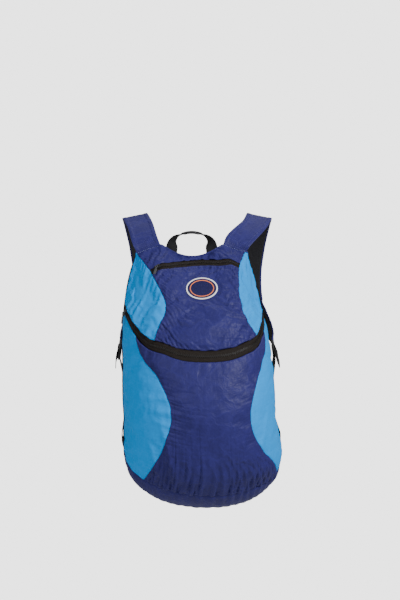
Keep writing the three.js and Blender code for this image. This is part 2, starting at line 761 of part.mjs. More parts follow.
function strapRows(side, sign) {
  const { inner, outer } = strapRoot(sign);
  const edge = outer.clone().sub(inner);
  const upward = new THREE.Vector3(-edge.z, 0, edge.x).multiplyScalar(sign).normalize();
  const rootWidth = edge.length();
  const standoff = strapThickness / 2 + strapHem / 2;
  const root = inner.clone().add(outer).multiplyScalar(0.5).addScaledVector(upward, seatGap);
  root.y = standoff;
  const first = root.clone().addScaledVector(upward, firstRise);
  first.x += sign * firstOut;
  first.y += firstReach;
  const rows = [
    { place: root, facing: new THREE.Vector3(0, -1, 0), width: rootWidth - 2 * backPanelMargin },
    { place: first, facing: new THREE.Vector3(0, -0.9, 0.44), width: (rootWidth + strapWidth) / 2 },
  ];
  for (const row of strapLine) {
    rows.push({
      place: new THREE.Vector3(sign * row.x * strapHalfSpan, row.y * strapReach, row.z * strapFall),
      facing: new THREE.Vector3(sign * row.faceX, row.faceY, row.faceZ),
      width: row.width * strapWidth,
    });
  }
  rows.at(-1).facing.y = endTwist[side];
  return rows;
}

// Strap stations; the first lies along the top edge of the bag, where the strap is sewn on.
function strapLineStations(side, sign) {
  const stations = stationsAlong(strapRows(side, sign), strapStations);
  const { inner, outer } = strapRoot(sign);
  stations[0].facing.set(0, -1, 0);
  stations[0].across = outer.clone().sub(inner).normalize().multiplyScalar(sign);
  return stations;
}

// Directions at the lower end of a strap, where the buckle continues its line.
function lockFrame(stations) {
  const { place, tangent, facing } = stations.at(-1);
  return { top: place.clone().addScaledVector(tangent, seatGap), down: tangent.clone().normalize(), facing };
}

// Buckle with three bars: its plate lies in the plane of across and down.
function addLock(name, frame) {
  const shape = roundedShape(lockWidth, lockLength, lockRound);
  const slotHalf = webbingWidth / 2 + slotClearance;
  const slotHeight = (lockLength - 3 * lockBar) / 2;
  for (const sign of [-1, 1]) {
    const middle = (sign * (lockBar + slotHeight)) / 2;
    const slot = new THREE.Path();
    slot.moveTo(-slotHalf, middle - slotHeight / 2);
    slot.lineTo(-slotHalf, middle + slotHeight / 2);
    slot.lineTo(slotHalf, middle + slotHeight / 2);
    slot.lineTo(slotHalf, middle - slotHeight / 2);
    slot.closePath();
    shape.holes.push(slot);
  }
  const geometry = plateGeometry(shape, lockThickness);
  geometry.translate(0, -lockLength / 2, -lockThickness / 2);
  const up = frame.down.clone().negate();
  const across = up.clone().cross(frame.facing).normalize();
  geometry.applyMatrix4(new THREE.Matrix4().makeBasis(across, up, frame.facing).setPosition(frame.top));
  addMesh(name, geometry, black, plasticRoughness);
}

// The webbing's way up from the body's edge to the buckle, and how far it has turned to the buckle's plane.
const webbingRise = [
  { way: 0, turned: 0 },
  { way: 0.35, turned: 0.4 },
  { way: 0.7, turned: 1 },
  { way: 1, turned: 1 },
];
const barWrap = 0.55;
const tailBulge = 1.3;

// Webbing: up behind the buckle, out through its upper slot, over the middle bar and down as a free tail.
function webbingGeometry(frame, sign) {
  const away = lockThickness / 2 + seatGap + webbingThickness / 2;
  const slotHeight = (lockLength - 3 * lockBar) / 2;
  const slotMiddle = lockBar + slotHeight / 2;
  const at = (down, out) => (
    frame.top.clone().addScaledVector(frame.down, down).addScaledVector(frame.facing, out)
  );
  const turnSteps = 8;
  const stations = [];
  const push = (place, facing, tangent) => {
    const square = facing.clone().addScaledVector(tangent, -facing.dot(tangent)).normalize();
    const across = tangent.clone().cross(square).normalize();
    stations.push({ place, facing: square, across, width: webbingWidth });
  };
  const lift = seatGap + webbingThickness / 2;
  const corner = bodyPoint(sign * cornerTurn, cornerRise, lift + seatGap);
  const edgePlace = bodyPoint(sign * sideEdge, edgeRise, lift + backPanelMargin + edgeStandoff);
  const cornerFacing = bodyNormal(sign * cornerTurn, cornerRise);
  edgePlace.y = backPanelThickness;
  const lockEnd = at(lockLength + webbingWidth / 2, -away);
  const rows = [{ place: corner, facing: cornerFacing, width: webbingWidth }];
  for (const { way, turned } of webbingRise) {
    rows.push({
      place: edgePlace.clone().lerp(lockEnd, way),
      facing: cornerFacing.clone().lerp(frame.facing, turned),
      width: webbingWidth,
    });
  }
  const lowerStations = 14;
  stations.push(...stationsAlong(rows, lowerStations));
  const upward = frame.down.clone().negate();
  push(at(slotMiddle + away, -away), frame.facing, upward);
  for (const angle of spread(0, 180, turnSteps)) {
    const c = Math.cos(angle * degree);
    const s = Math.sin(angle * degree);
    const place = at(slotMiddle + lockBar / 2 - s * away * barWrap, -away * c);
    const facing = frame.facing.clone().multiplyScalar(c).addScaledVector(upward, -s);
    const tangent = upward.clone().multiplyScalar(c).addScaledVector(frame.facing, s);
    push(place, facing, tangent);
  }
  const back = frame.facing.clone().negate();
  push(at(lockLength, away), back, frame.down.clone());
  push(at(lockLength + tailLength / 2, away * tailBulge), back, frame.down.clone());
  push(at(lockLength + tailLength, away), back, frame.down.clone());
  stations.at(-1).width = webbingWidth / 3;
  return band(stations, webbingThickness, flatEdges);
}

function addStrap(side, sign) {
  const stations = strapLineStations(side, sign);
  const sink = strapThickness / 2 + strapHem / 2 + liningGap + liningThickness / 2;
  const lining = stations.map((station) => ({ ...station, width: station.width - 2 * liningInset }));
  addMesh(`shoulder_strap_${side}`, band(stations, strapThickness, strapEdges), navy, clothRoughness);
  addMesh(`strap_lining_${side}`, band(lining, liningThickness, liningEdges, sink), black, webbingRoughness);
  const frame = lockFrame(stations);
  addLock(`ladder_lock_${side}`, frame);
  addMesh(`webbing_${side}`, webbingGeometry(frame, sign), black, webbingRoughness);
}

// Loop of webbing whose two feet are sewn flat behind the neckline.
function addHaulLoop() {
  const centre = bodyLean * sections.at(-1).lean;
  const half = bodyHalfWidth * sections.at(-1).width;
  const footTop = topEdge(loopHalfSpan / half);
  const behind = backPanelThickness + seatGap + webbingThickness / 2;
  const rowAt = (sign, { across, back, rise, faceX, faceY, faceZ }) => ({
    place: new THREE.Vector3(
      centre + sign * loopHalfSpan * across,
      behind + loopReach * back,
      footTop + loopRise * rise,
    ),
    facing: new THREE.Vector3(sign * faceX, faceY, faceZ),
    width: webbingWidth,
  });
  const foot = { across: 1, back: 0, rise: -loopFoot / loopRise, faceX: 0, faceY: 1, faceZ: 0 };
  const climb = [foot, ...loopLine];
  const rows = [
    ...climb.map((row) => rowAt(-1, row)),
    rowAt(1, loopCrown),
    ...climb.toReversed().map((row) => rowAt(1, row)),
  ];
  const loopStations = 32;
  const stations = stationsAlong(rows, loopStations);
  addMesh('haul_loop', band(stations, webbingThickness, flatEdges), black, webbingRoughness);
}

addFrontPanels();
addSidePanels();
addBottomPanel();
addBackPanel();
addZips();
addBadge();
addStrap('left', -1);
addStrap('right', 1);
addHaulLoop();

export default backpack;
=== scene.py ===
"""Packable backpack in thin nylon, dressed around its fixed frame and set on a plain stage."""

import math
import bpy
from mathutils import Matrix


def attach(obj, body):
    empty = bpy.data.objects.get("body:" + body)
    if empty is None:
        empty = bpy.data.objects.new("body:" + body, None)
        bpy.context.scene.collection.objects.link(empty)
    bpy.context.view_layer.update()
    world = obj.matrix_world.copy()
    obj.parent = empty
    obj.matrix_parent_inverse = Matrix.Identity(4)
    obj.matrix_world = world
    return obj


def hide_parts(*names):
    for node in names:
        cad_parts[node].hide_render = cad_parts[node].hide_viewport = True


bl_info = {
    "name": "Packable Backpack",
    "version": (1, 0, 0),
    "blender": (4, 5, 0),
    "location": "View3D > Sidebar > Backpack",
    "description": "Builds a worn packable backpack: gathered nylon shell, zips, straps, webbing and stage",
    "category": "Object",
}

import bmesh
import bpy
import numpy as np
from bpy.props import FloatProperty, FloatVectorProperty, IntProperty, PointerProperty
from mathutils import Matrix, Vector

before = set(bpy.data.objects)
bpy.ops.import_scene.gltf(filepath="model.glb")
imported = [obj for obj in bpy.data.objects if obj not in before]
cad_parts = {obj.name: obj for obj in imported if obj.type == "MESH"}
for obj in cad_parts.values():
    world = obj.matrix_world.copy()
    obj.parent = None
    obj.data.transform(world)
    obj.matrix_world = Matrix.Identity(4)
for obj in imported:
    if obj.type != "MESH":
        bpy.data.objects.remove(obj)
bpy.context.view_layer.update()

MM = 0.001
DEGREE = math.pi / 180.0
BODY = "root"

# Bag body in millimetres, as its frame was made
HALF_WIDTH = 130.0
DEPTH = 146.0
HEIGHT = 342.0
SHOULDER_RISE = 50.0
LEAN = 18.0
FRONT_SHIFT = 25.0
NECK_DIP = 21.5
SIDE_STEP = 15.0
BOTTOM_DROP = 72.0
BACK_DROP = 74.0
SQUARENESS = 0.4
BOTTOM_BELLY = 62.0
ROUNDNESS = 2.35
FULLNESS = 0.03
ROOT_INNER = 0.56
CORNER_ROUND = 3.0
BOTTOM_Z = -SHOULDER_RISE - HEIGHT
MAIN_TAPE = 16.0
TOP_TAPE = 9.0
BACK_THICKNESS = 3.0
BACK_MARGIN = 1.2
SEAT_GAP = 0.3

SECTIONS = {
    "rise": (0.0, 0.07, 0.15, 0.24, 0.34, 0.44, 0.55, 0.65, 0.75, 0.83, 0.9, 0.955, 1.0),
    "width": (0.98, 0.985, 0.957, 0.944, 0.94, 0.93, 0.92, 0.895, 0.85, 0.82, 0.785, 0.745, 0.712),
    "depth": (0.66, 0.83, 0.93, 0.985, 1.0, 0.965, 0.895, 0.8, 0.66, 0.52, 0.36, 0.19, 0.02),
    "lean": (0.3, 0.31, 0.14, -0.05, -0.11, -0.17, -0.3, -0.42, -0.55, -0.55, -0.52, -0.5, -0.5),
}
UPPER_SEAM = {
    "rise": (0.6, 0.64, 0.68, 0.73, 0.77, 0.81, 0.875, 0.91, 0.955, 1.0),
    "left": (-38.5, -35.4, -31.3, -26.8, -26.8, -31.3, -40.0, -46.0, -58.0, -76.0),
    "right": (47.5, 42.3, 37.0, 34.2, 33.7, 34.4, 38.4, 42.0, 51.5, 68.0),
}
LOWER_SEAM = {
    "rise": (0.0, 0.09, 0.155, 0.22, 0.275, 0.33, 0.38, 0.43, 0.475, 0.515, 0.56, 0.6),
    "left": (-50.1, -41.0, -35.1, -30.2, -27.1, -26.7, -29.4, -34.6, -40.2, -49.0, -55.0, -58.5),
    "right": (61.0, 49.6, 38.8, 32.3, 29.2, 28.9, 31.6, 36.6, 42.0, 47.7, 54.0, 59.5),
}
MAIN_ZIP = {
    "turn": (-90, -76, -63, -50, -40, -23, 0, 23, 35, 45, 57, 70, 90),
    "rise": (0.728, 0.698, 0.655, 0.607, 0.583, 0.573, 0.582, 0.576, 0.582, 0.603, 0.651, 0.69, 0.728),
}
TOP_ZIP = {
    "turn": (-50, -38, -26, -11, 5, 24, 36, 50),
    "rise": (0.88, 0.896, 0.919, 0.957, 0.972, 0.938, 0.924, 0.914),
}
FOLD_HEIGHT = 3.0
FOLDS = {
    "turn": (-28, -40, -34, -31, -32, 40, -10, 18, -24, -6, 16, 26, -28, 29, -58, 62),
    "rise": (0.14, 0.1, 0.37, 0.32, 0.27, 0.2, 0.45, 0.36, 0.66, 0.7, 0.72, 0.66, 0.82, 0.8, 0.3, 0.34),
    "slant": (-72, -60, 8, 4, -4, 55, -12, 14, -24, -14, 16, 30, -34, 40, 78, -80),
    "reach": (0.3, 0.26, 0.2, 0.2, 0.18, 0.3, 0.55, 0.5, 0.34, 0.46, 0.42, 0.36, 0.2, 0.2, 0.7, 0.7),
    "spread": (
        0.045, 0.05, 0.035, 0.035, 0.035, 0.06, 0.1, 0.11, 0.05, 0.055, 0.055, 0.05, 0.045, 0.05, 0.09, 0.09),
    "height": (1.0, 0.8, 0.6, 0.7, 0.6, 0.7, 0.5, 0.5, 0.7, 0.7, 0.7, 0.6, 0.7, 0.5, 0.6, 0.6),
}
GATHERS = {"count": 18, "height": 1.5, "reach": 70.0}

# Strap line past its root: shares of half span, reach and fall, the way its outer side faces, share of width
STRAP_HALF_SPAN = 106.0
STRAP_REACH = 165.0
STRAP_FALL = 222.0
STRAP_WIDTH = 44.0
STRAP_THICKNESS = 1.8
STRAP_HEM = 0.5
FIRST_STEP = (1.5, 3.0, 12.0)
STRAP_LINE = (
    (0.915, 0.22, -0.075, 0.05, -0.62, 0.78, 1.0),
    (1.01, 0.436, 0.0, 0.2, -0.1, 0.97, 1.0),
    (0.99, 0.7, -0.06, 0.2, 0.55, 0.81, 1.0),
    (0.92, 0.9, -0.23, 0.16, 0.9, 0.4, 1.0),
    (0.87, 1.0, -0.46, 0.2, 0.97, 0.1, 1.0),
    (0.92, 0.985, -0.68, 0.38, 0.92, 0.02, 0.98),
    (1.07, 0.85, -0.8, 0.8, 0.6, 0.0, 0.92),
    (1.19, 0.67, -0.89, 0.98, 0.2, 0.0, 0.8),
    (1.24, 0.56, -0.95, 1.0, 0.0, 0.0, 0.66),
    (1.25, 0.48, -1.0, 1.0, -0.1, 0.0, 0.56),
)
END_TWIST = {-1: -0.1, 1: -0.5}
LINING_THICKNESS = 1.4
LINING_INSET = 2.5
LINING_GAP = 0.5
WEB_WIDTH = 20.0
WEB_THICKNESS = 1.3
TAIL_LENGTH = 26.0
TAIL_BULGE = 0.3
BAR_WRAP = 0.55
CORNER = {"turn": 87.0, "rise": 0.04, "edge_rise": 0.02, "standoff": 1.5, "hug": 7.3, "turned": 0.2}
LOCK = {"width": 27.0, "length": 24.0, "thickness": 3.6, "bar": 4.0, "round": 3.0, "clearance": 1.2}
LOOP = {"half": 34.0, "rise": 32.0, "foot": 16.0, "lean": 0.28}
BADGE = {"length": 52.0, "height": 42.0, "upright": 0.14, "sunk": 1.2, "turn": 2.2, "rise": 0.862}


def length(label, text, millimetres):
    """Property for one length."""
    return FloatProperty(name=label, description=text, default=millimetres * MM, unit="LENGTH")


def colour(label, text, *value):
    """Property for one linear colour."""
    return FloatVectorProperty(name=label, description=text, subtype="COLOR", default=value)


class BagSizes(bpy.types.PropertyGroup):
    """Sizes of the cloth's fine forms."""

    cloth_thickness: length("Cloth thickness", "Wall of the nylon", 0.9)
    cell: length("Cloth cell", "Spacing of the cloth's grid", 2.4)
    seam_sink: length("Seam depth", "How far a seam lies below the cloth", 0.9)
    stitch_pitch: length("Stitch pitch", "Distance between stitches", 3.2)
    slack: FloatProperty(
        name="Cloth slack", description="Share by which the cloth is cut too large", default=0.035)
    settle_frames: IntProperty(
        name="Settling steps", description="Steps of the cloth simulation", default=18)


class BagColours(bpy.types.PropertyGroup):
    """Colours of the bag's materials."""

    navy: colour("Navy", "Front, yoke and straps", 0.019, 0.018, 0.108)
    turquoise: colour("Turquoise", "Side panels", 0.0, 0.265, 0.7)
    black: colour("Black", "Webbing, mesh and buckles", 0.006, 0.006, 0.007)
    tape: colour("Zip tape", "Woven tape of the zips", 0.0078, 0.0058, 0.0048)
    grey: colour("Grey", "Cord of the zip pulls", 0.035, 0.037, 0.045)
    rim: colour("Patch rim", "Overcast edge of the patch", 0.78, 0.79, 0.83)
    orange: colour("Patch ring", "Stitched ring on the patch", 0.85, 0.2, 0.04)
    thread: colour("Pale thread", "Stitching along the neckline", 0.2, 0.23, 0.38)
    floor: colour("Floor", "Floor under the bag", 0.86, 0.86, 0.86)


def curve_at(table, key, place, column):
    """Smooth curve through the rows of a table, at one place or at many."""
    x = np.asarray(table[key], float)
    y = np.asarray(table[column], float)
    slope = np.empty_like(y)
    slope[1:-1] = (y[2:] - y[:-2]) / (x[2:] - x[:-2])
    slope[0] = (y[1] - y[0]) / (x[1] - x[0])
    slope[-1] = (y[-1] - y[-2]) / (x[-1] - x[-2])
    at = np.clip(np.asarray(place, float), x[0], x[-1])
    i = np.clip(np.searchsorted(x, at, side="right") - 1, 0, len(x) - 2)
    span = x[i + 1] - x[i]
    t = (at - x[i]) / span
    low = (2 * t**3 - 3 * t**2 + 1) * y[i] + (t**3 - 2 * t**2 + t) * span * slope[i]
    return low + (3 * t**2 - 2 * t**3) * y[i + 1] + (t**3 - t**2) * span * slope[i + 1]


def top_edge(sideways):
    """Height of the top edge: a dip between the strap roots, then straight down to the sides."""
    aside = np.abs(sideways)
    dip = -NECK_DIP * (1 - (aside / ROOT_INNER) ** 2)
    slope = -SIDE_STEP * (aside - ROOT_INNER) / (1 - ROOT_INNER)
    rounded = np.exp(-dip / CORNER_ROUND) + np.exp(-slope / CORNER_ROUND)
    return -SHOULDER_RISE - CORNER_ROUND * np.log(rounded)


def bottom_edge(drop, sideways):
    """Height of the bottom edge, which falls by the drop at its middle."""
    return BOTTOM_Z - drop * np.maximum(0, 1 - sideways**2) ** SQUARENESS


def section(rise, column):
    """A share of the body's cross section at a rise."""
    return curve_at(SECTIONS, "rise", rise, column)


def girth(turn):
    """Millimetres round the body at a turn in degrees."""
    return turn * DEGREE * HALF_WIDTH


def clear_of_back(points):
    """Keeps points in front of the back panel."""
    points[..., 1] = np.minimum(points[..., 1], -SEAT_GAP)
    return points


def smooth_point(turn, rise):
    """Points on the bag's smooth outer surface, in millimetres."""
    turn, rise = np.broadcast_arrays(np.asarray(turn, float), np.asarray(rise, float))
    across = np.sin(turn * DEGREE)
    out = np.maximum(np.cos(turn * DEGREE), 0)
    sideways = np.sign(across) * np.abs(across) ** (2 / ROUNDNESS)
    forward = out ** (2 / ROUNDNESS)
    width = HALF_WIDTH * section(rise, "width")
    depth = section(rise, "depth")
    lean = LEAN * section(rise, "lean")
    full = 1 + 4 * FULLNESS * forward * (1 - forward)
    bottom = bottom_edge(BOTTOM_DROP, sideways)
    z = bottom + (top_edge(sideways) - bottom) * rise
    x = lean + width * sideways * full + FRONT_SHIFT * depth * forward
    return np.stack([x, -DEPTH * depth * forward, z], axis=-1)


def unit(vectors):
    """The same vectors, one long."""
    return vectors / np.maximum(np.linalg.norm(vectors, axis=-1, keepdims=True), 1e-12)


def body_normal(turn, rise):
    """Outward directions on the smooth surface."""
    turn = np.clip(turn, -89.6, 89.6)
    rise = np.clip(rise, 0.001, 0.999)
    along = smooth_point(turn + 0.4, rise) - smooth_point(turn - 0.4, rise)
    up = smooth_point(turn, rise + 0.001) - smooth_point(turn, rise - 0.001)
    return unit(np.cross(along, up))


def fold_relief(turn, rise):
    """Height of the large folds and of the gathers over the bottom seam, in millimetres."""
    relief = np.zeros(np.broadcast(turn, rise).shape)
    for f_turn, f_rise, slant, reach, spread, height in zip(*FOLDS.values()):
        across = girth(turn - f_turn)
        up = (rise - f_rise) * HEIGHT
        along = across * math.cos(slant * DEGREE) + up * math.sin(slant * DEGREE)
        aside = up * math.cos(slant * DEGREE) - across * math.sin(slant * DEGREE)
        shape = (along / (reach * HALF_WIDTH)) ** 2 + (aside / (spread * HALF_WIDTH)) ** 2
        relief = relief + height * FOLD_HEIGHT * np.exp(-shape)
    left, right = LOWER_LEFT(rise), LOWER_RIGHT(rise)
    share = np.clip((turn - left) / (right - left), 0, 1)
    fade = np.maximum(0, 1 - rise * HEIGHT / GATHERS["reach"])
    side_fade = np.sqrt(np.maximum(np.sin(np.pi * share), 0))
    wave = np.sin(2 * np.pi * GATHERS["count"] * share)
    return relief + GATHERS["height"] * fade * side_fade * wave


def body_point(turn, rise, height=0.0):
    """Points at a height over the smooth surface, folds included."""
    relief = fold_relief(np.asarray(turn, float), np.asarray(rise, float)) + height
    point = smooth_point(turn, rise) + body_normal(turn, rise) * relief[..., None]
    return clear_of_back(point)


def bottom_point(turn, along):
    """Points of the underside: strips leave the bottom seam and end at the back panel."""
    turn, along = np.broadcast_arrays(np.asarray(turn, float), np.asarray(along, float))
    front = smooth_point(turn, 0)
    down = unit(front - smooth_point(turn, 0.001))
    pull = front + down * (BOTTOM_BELLY * -front[..., 1:2] / (DEPTH * SECTIONS["depth"][0]))
    sideways = np.sign(turn) * np.abs(np.sin(turn * DEGREE)) ** (2 / ROUNDNESS)
    back = np.stack([
        LEAN * SECTIONS["lean"][0] + HALF_WIDTH * SECTIONS["width"][0] * sideways,
        np.zeros_like(sideways),
        bottom_edge(BACK_DROP, sideways),
    ], axis=-1)
    t = along[..., None]
    point = front * (1 - t) ** 2 + 2 * pull * t * (1 - t) + back * t**2
    return clear_of_back(point)


def zip_line(table, offset=0.0):
    """Rise at each turn along a zip, moved up by an offset in millimetres."""
    return lambda turn: curve_at(table, "turn", turn, "rise") + offset / HEIGHT


def seam_line(table, side):
    """Turn at each rise along a seam."""
    return lambda rise: curve_at(table, "rise", rise, side)


def constant(value):
    """An edge at one value all along."""
    return lambda place: np.full(np.shape(place), float(value))


def meeting(seam, edge):
    """Rise at which a seam meets the edge of a zip."""
    rise = float(edge(0.0))
    for _ in range(20):
        rise = float(edge(seam(rise)))
    return rise


def patch(lower, upper, left, right, left_rises, right_rises, columns):
    """Turns and rises of a grid between two edges round the body and two up it."""
    along = np.linspace(0, 1, columns + 1)[None, :]
    left_rise = np.asarray(left_rises, float)[:, None]
    right_rise = np.asarray(right_rises, float)[:, None]
    up = np.linspace(0, 1, len(left_rises))[:, None]

    def turns(a, b):
        return left(a) + (right(b) - left(a)) * along

    low_line = left_rise[0] + (right_rise[0] - left_rise[0]) * along
    high_line = left_rise[-1] + (right_rise[-1] - left_rise[-1]) * along
    low = lower(turns(left_rise[:1], right_rise[:1])) - low_line
    high = upper(turns(left_rise[-1:], right_rise[-1:])) - high_line
    rise = left_rise + (right_rise - left_rise) * along + (1 - up) * low + up * high
    return np.stack([turns(left_rise, right_rise), rise])


MAIN_LOW = zip_line(MAIN_ZIP, -MAIN_TAPE / 2)
MAIN_HIGH = zip_line(MAIN_ZIP, MAIN_TAPE / 2)
TOP_LOW = zip_line(TOP_ZIP, -TOP_TAPE / 2)
TOP_HIGH = zip_line(TOP_ZIP, TOP_TAPE / 2)
UPPER_LEFT = seam_line(UPPER_SEAM, "left")
UPPER_RIGHT = seam_line(UPPER_SEAM, "right")
LOWER_LEFT = seam_line(LOWER_SEAM, "left")
LOWER_RIGHT = seam_line(LOWER_SEAM, "right")


def rng_wave(place, waves, seed):
    """Sum of sines with seeded phases; waves are (length, height) pairs."""
    phases = np.random.RandomState(seed).uniform(0, 2 * np.pi, len(waves))
    total = 0.0
    for (length, height), phase in zip(waves, phases):
        total = total + height * np.sin(2 * np.pi * place / length + phase)
    return total


def maths(operation, values=2):
    """Method of a wire that adds one Math node."""
    if values == 1:
        return lambda self: self.graph.add("ShaderNodeMath", {"operation": operation}, {0: self})
    return lambda self, other: self.graph.add("ShaderNodeMath", {"operation": operation}, {0: self, 1: other})


class Wire:
    """A node socket whose arithmetic adds Math nodes."""

    def __init__(self, graph, socket):
        self.graph = graph
        self.socket = socket

    __add__ = maths("ADD")
    __sub__ = maths("SUBTRACT")
    __mul__ = maths("MULTIPLY")
    __pow__ = maths("POWER")
    max = maths("MAXIMUM")
    sin = maths("SINE", 1)
    abs = maths("ABSOLUTE", 1)

    def __rsub__(self, other):
        return self.graph.add("ShaderNodeMath", {"operation": "SUBTRACT"}, {0: other, 1: self})

    def between(self, low, high):
        """0 below low, 1 above high, and smooth in between."""
        inputs = {"Value": self, "From Min": low, "From Max": high}
        return self.graph.add("ShaderNodeMapRange", {"interpolation_type": "SMOOTHSTEP"}, inputs)


class Finish:
    """A material made from one Principled shader."""

    def __init__(self, name, **uniform):
        self.material = bpy.data.materials.new(name)
        self.material.use_nodes = True
        self.tree = self.material.node_tree
        self.shader = self.tree.nodes["Principled BSDF"]
        for socket, value in uniform.items():
            self.set(socket.replace("_", " ").title().replace("Ior", "IOR"), value)

    def plug(self, socket, value):
        """Links a wire to a socket, or sets the socket's own value."""
        if isinstance(value, Wire):
            self.tree.links.new(value.socket, socket)
        elif np.isscalar(value):
            socket.default_value = value
        else:
            socket.default_value = (*value, 1.0)

    def set(self, socket, value):
        self.plug(self.shader.inputs[socket], value)

    def add(self, kind, settings=None, inputs=None, output=0):
        node = self.tree.nodes.new(kind)
        for key, value in (settings or {}).items():
            setattr(node, key, value)
        for key, value in (inputs or {}).items():
            self.plug(node.inputs[key], value)
        return Wire(self, node.outputs[output])

    def place(self):
        return self.add("ShaderNodeTexCoord", output="Object")

    def cloth_axes(self):
        """Metres along and across the cloth, from the piece's own map."""
        uv = self.add("ShaderNodeUVMap", {"uv_map": "cloth"})
        split = self.add("ShaderNodeSeparateXYZ", inputs={"Vector": uv})
        nodes = split.socket.node.outputs
        return Wire(self, nodes["X"]), Wire(self, nodes["Y"])

    def noise(self, vector, scale, detail=3.0, rough=0.5):
        inputs = {"Vector": vector, "Scale": scale, "Detail": detail, "Roughness": rough}
        return self.add("ShaderNodeTexNoise", None, inputs)

    def mix(self, factor, a, b):
        node = self.tree.nodes.new("ShaderNodeMix")
        node.data_type = "RGBA"
        for index, value in ((0, factor), (6, a), (7, b)):
            self.plug(node.inputs[index], value)
        return Wire(self, node.outputs[2])

    def done(self, base, roughness, height=None, distance=0.0, strength=1.0):
        """The material, with its colour, roughness and bump."""
        self.set("Base Color", base)
        self.set("Roughness", roughness)
        if height is not None:
            inputs = {"Height": height, "Distance": distance, "Strength": strength}
            self.set("Normal", self.add("ShaderNodeBump", None, inputs))
        return self.material


def shade(colour, factor):
    """A colour made lighter or darker."""
    return tuple(min(1.0, c * factor) for c in colour)


# Distances between ripstop threads, holes of the mesh and ribs of the webbing, in metres
RIPSTOP_PITCH = 0.0052
MESH_PITCH = 0.0032
WEBBING_RIB = 0.0016


# The last argument scales the painted sheen and random tone of the colour, and the strength of the bump.
def nylon_finish(name, colour, gloss=0.13, sheen_and_tone=1.0):
    """Thin ripstop nylon: fine creases, a faint check of stronger threads and a soft gloss."""
    f = Finish(name, specular_ior_level=gloss)
    place = f.place()
    u, v = f.cloth_axes()
    bend = f.noise(place, 26.0, 2.0)
    drift = f.add("ShaderNodeCombineXYZ", None, {"X": bend * 0.05, "Y": bend * 0.03, "Z": bend * 0.05})
    moved = f.add("ShaderNodeVectorMath", {"operation": "ADD"}, {0: place, 1: drift})
    large = 1.0 - (f.noise(moved, 38.0, 1.0) - 0.5).abs() * 4.0
    small = 1.0 - (f.noise(moved, 120.0, 2.0) - 0.5).abs() * 4.0
    rumple = f.noise(moved, 260.0, 3.0, 0.6)
    crease = large.max(0.0) ** 3.0 * 0.6 + small.max(0.0) ** 2.0 * 0.3
    rip = 2 * math.pi / RIPSTOP_PITCH
    check = (u * rip).sin().max((v * rip).sin()).between(0.93, 1.0)
    # Painted sheen: lighter colour on the crease ridges, mixed with random tone from the rumple noise.
    crease_sheen_and_tone = (crease * 0.5 + rumple * 0.5).between(0.1, 0.9)
    tint = f.mix(crease_sheen_and_tone, shade(colour, 1 - 0.14 * sheen_and_tone), shade(colour, 1 + 0.18 * sheen_and_tone))
    return f.done(
        f.mix(check * 0.12, tint, shade(colour, 1.5)), rumple * 0.14 + 0.4,
        crease * 0.5 + rumple * 0.25 + check * 0.06, 0.0012, 0.3 + 0.6 * sheen_and_tone)


def mesh_finish(name, colour):
    """Spacer mesh: rows of small staggered holes."""
    f = Finish(name, specular_ior_level=0.15)
    u, v = f.cloth_axes()
    pitch = 2 * math.pi / MESH_PITCH
    holes = ((u * pitch).sin() * (v * pitch).sin()).abs().between(0.25, 0.8)
    fuzz = f.noise(f.place(), 900.0, 2.0)
    base = f.mix(holes, shade(colour, 3.8), shade(colour, 0.6))
    return f.done(base, fuzz * 0.2 + 0.62, 1.0 - holes + fuzz * 0.2, 0.0007, 0.8)


def webbing_finish(name, colour, rib=WEBBING_RIB):
    """Woven webbing or tape: slanted ribs that change over at the middle, fuzz and a soft edge."""
    f = Finish(name, specular_ior_level=0.15)
    u, v = f.cloth_axes()
    chevron = u * (2 * math.pi / rib) + v.abs() * (2 * math.pi / rib * 0.9)
    ribs = (chevron.sin() + 1.0) * 0.5
    yarn = ((v * (2 * math.pi / (rib * 0.75))).sin() + 1.0) * 0.5
    fuzz = f.noise(f.place(), 700.0, 3.0)
    # Painted highlight: lighter colour on the rib crests, mixed with random tone from the fuzz.
    sheen_and_tone = (ribs * 0.6 + fuzz * 0.5).between(0.1, 0.9)
    base = f.mix(sheen_and_tone, shade(colour, 0.6), shade(colour, 2.4))
    return f.done(base, fuzz * 0.2 + 0.58, ribs * 0.7 + yarn * 0.3 + fuzz * 0.25, 0.0005, 0.7)


def plastic_finish(name, colour, rough=0.34):
    """Moulded or enamelled part with a faint grain and rubbed spots."""
    f = Finish(name, specular_ior_level=0.5)
    grain = f.noise(f.place(), 1400.0, 2.0)
    rub = f.noise(f.place(), 120.0, 4.0).between(0.45, 0.75)
    return f.done(f.mix(rub, colour, shade(colour, 2.2)), rub * 0.18 + rough, grain, 0.0002, 0.35)


def thread_finish(name, colour):
    """Twisted thread."""
    f = Finish(name, sheen_weight=0.2)
    twist = f.noise(f.place(), 1600.0, 2.0)
    base = f.mix(twist, shade(colour, 0.7), shade(colour, 1.3))
    return f.done(base, twist * 0.2 + 0.5, twist, 0.0002, 0.5)


def stage_finish(name, colour):
    """Pale matt floor with a faint mottle."""
    f = Finish(name, specular_ior_level=0.2)
    mottle = f.noise(f.place(), 3.0, 4.0)
    return f.done(f.mix(mottle, shade(colour, 0.985), shade(colour, 1.01)), mottle * 0.1 + 0.85)


FINISHES = {}


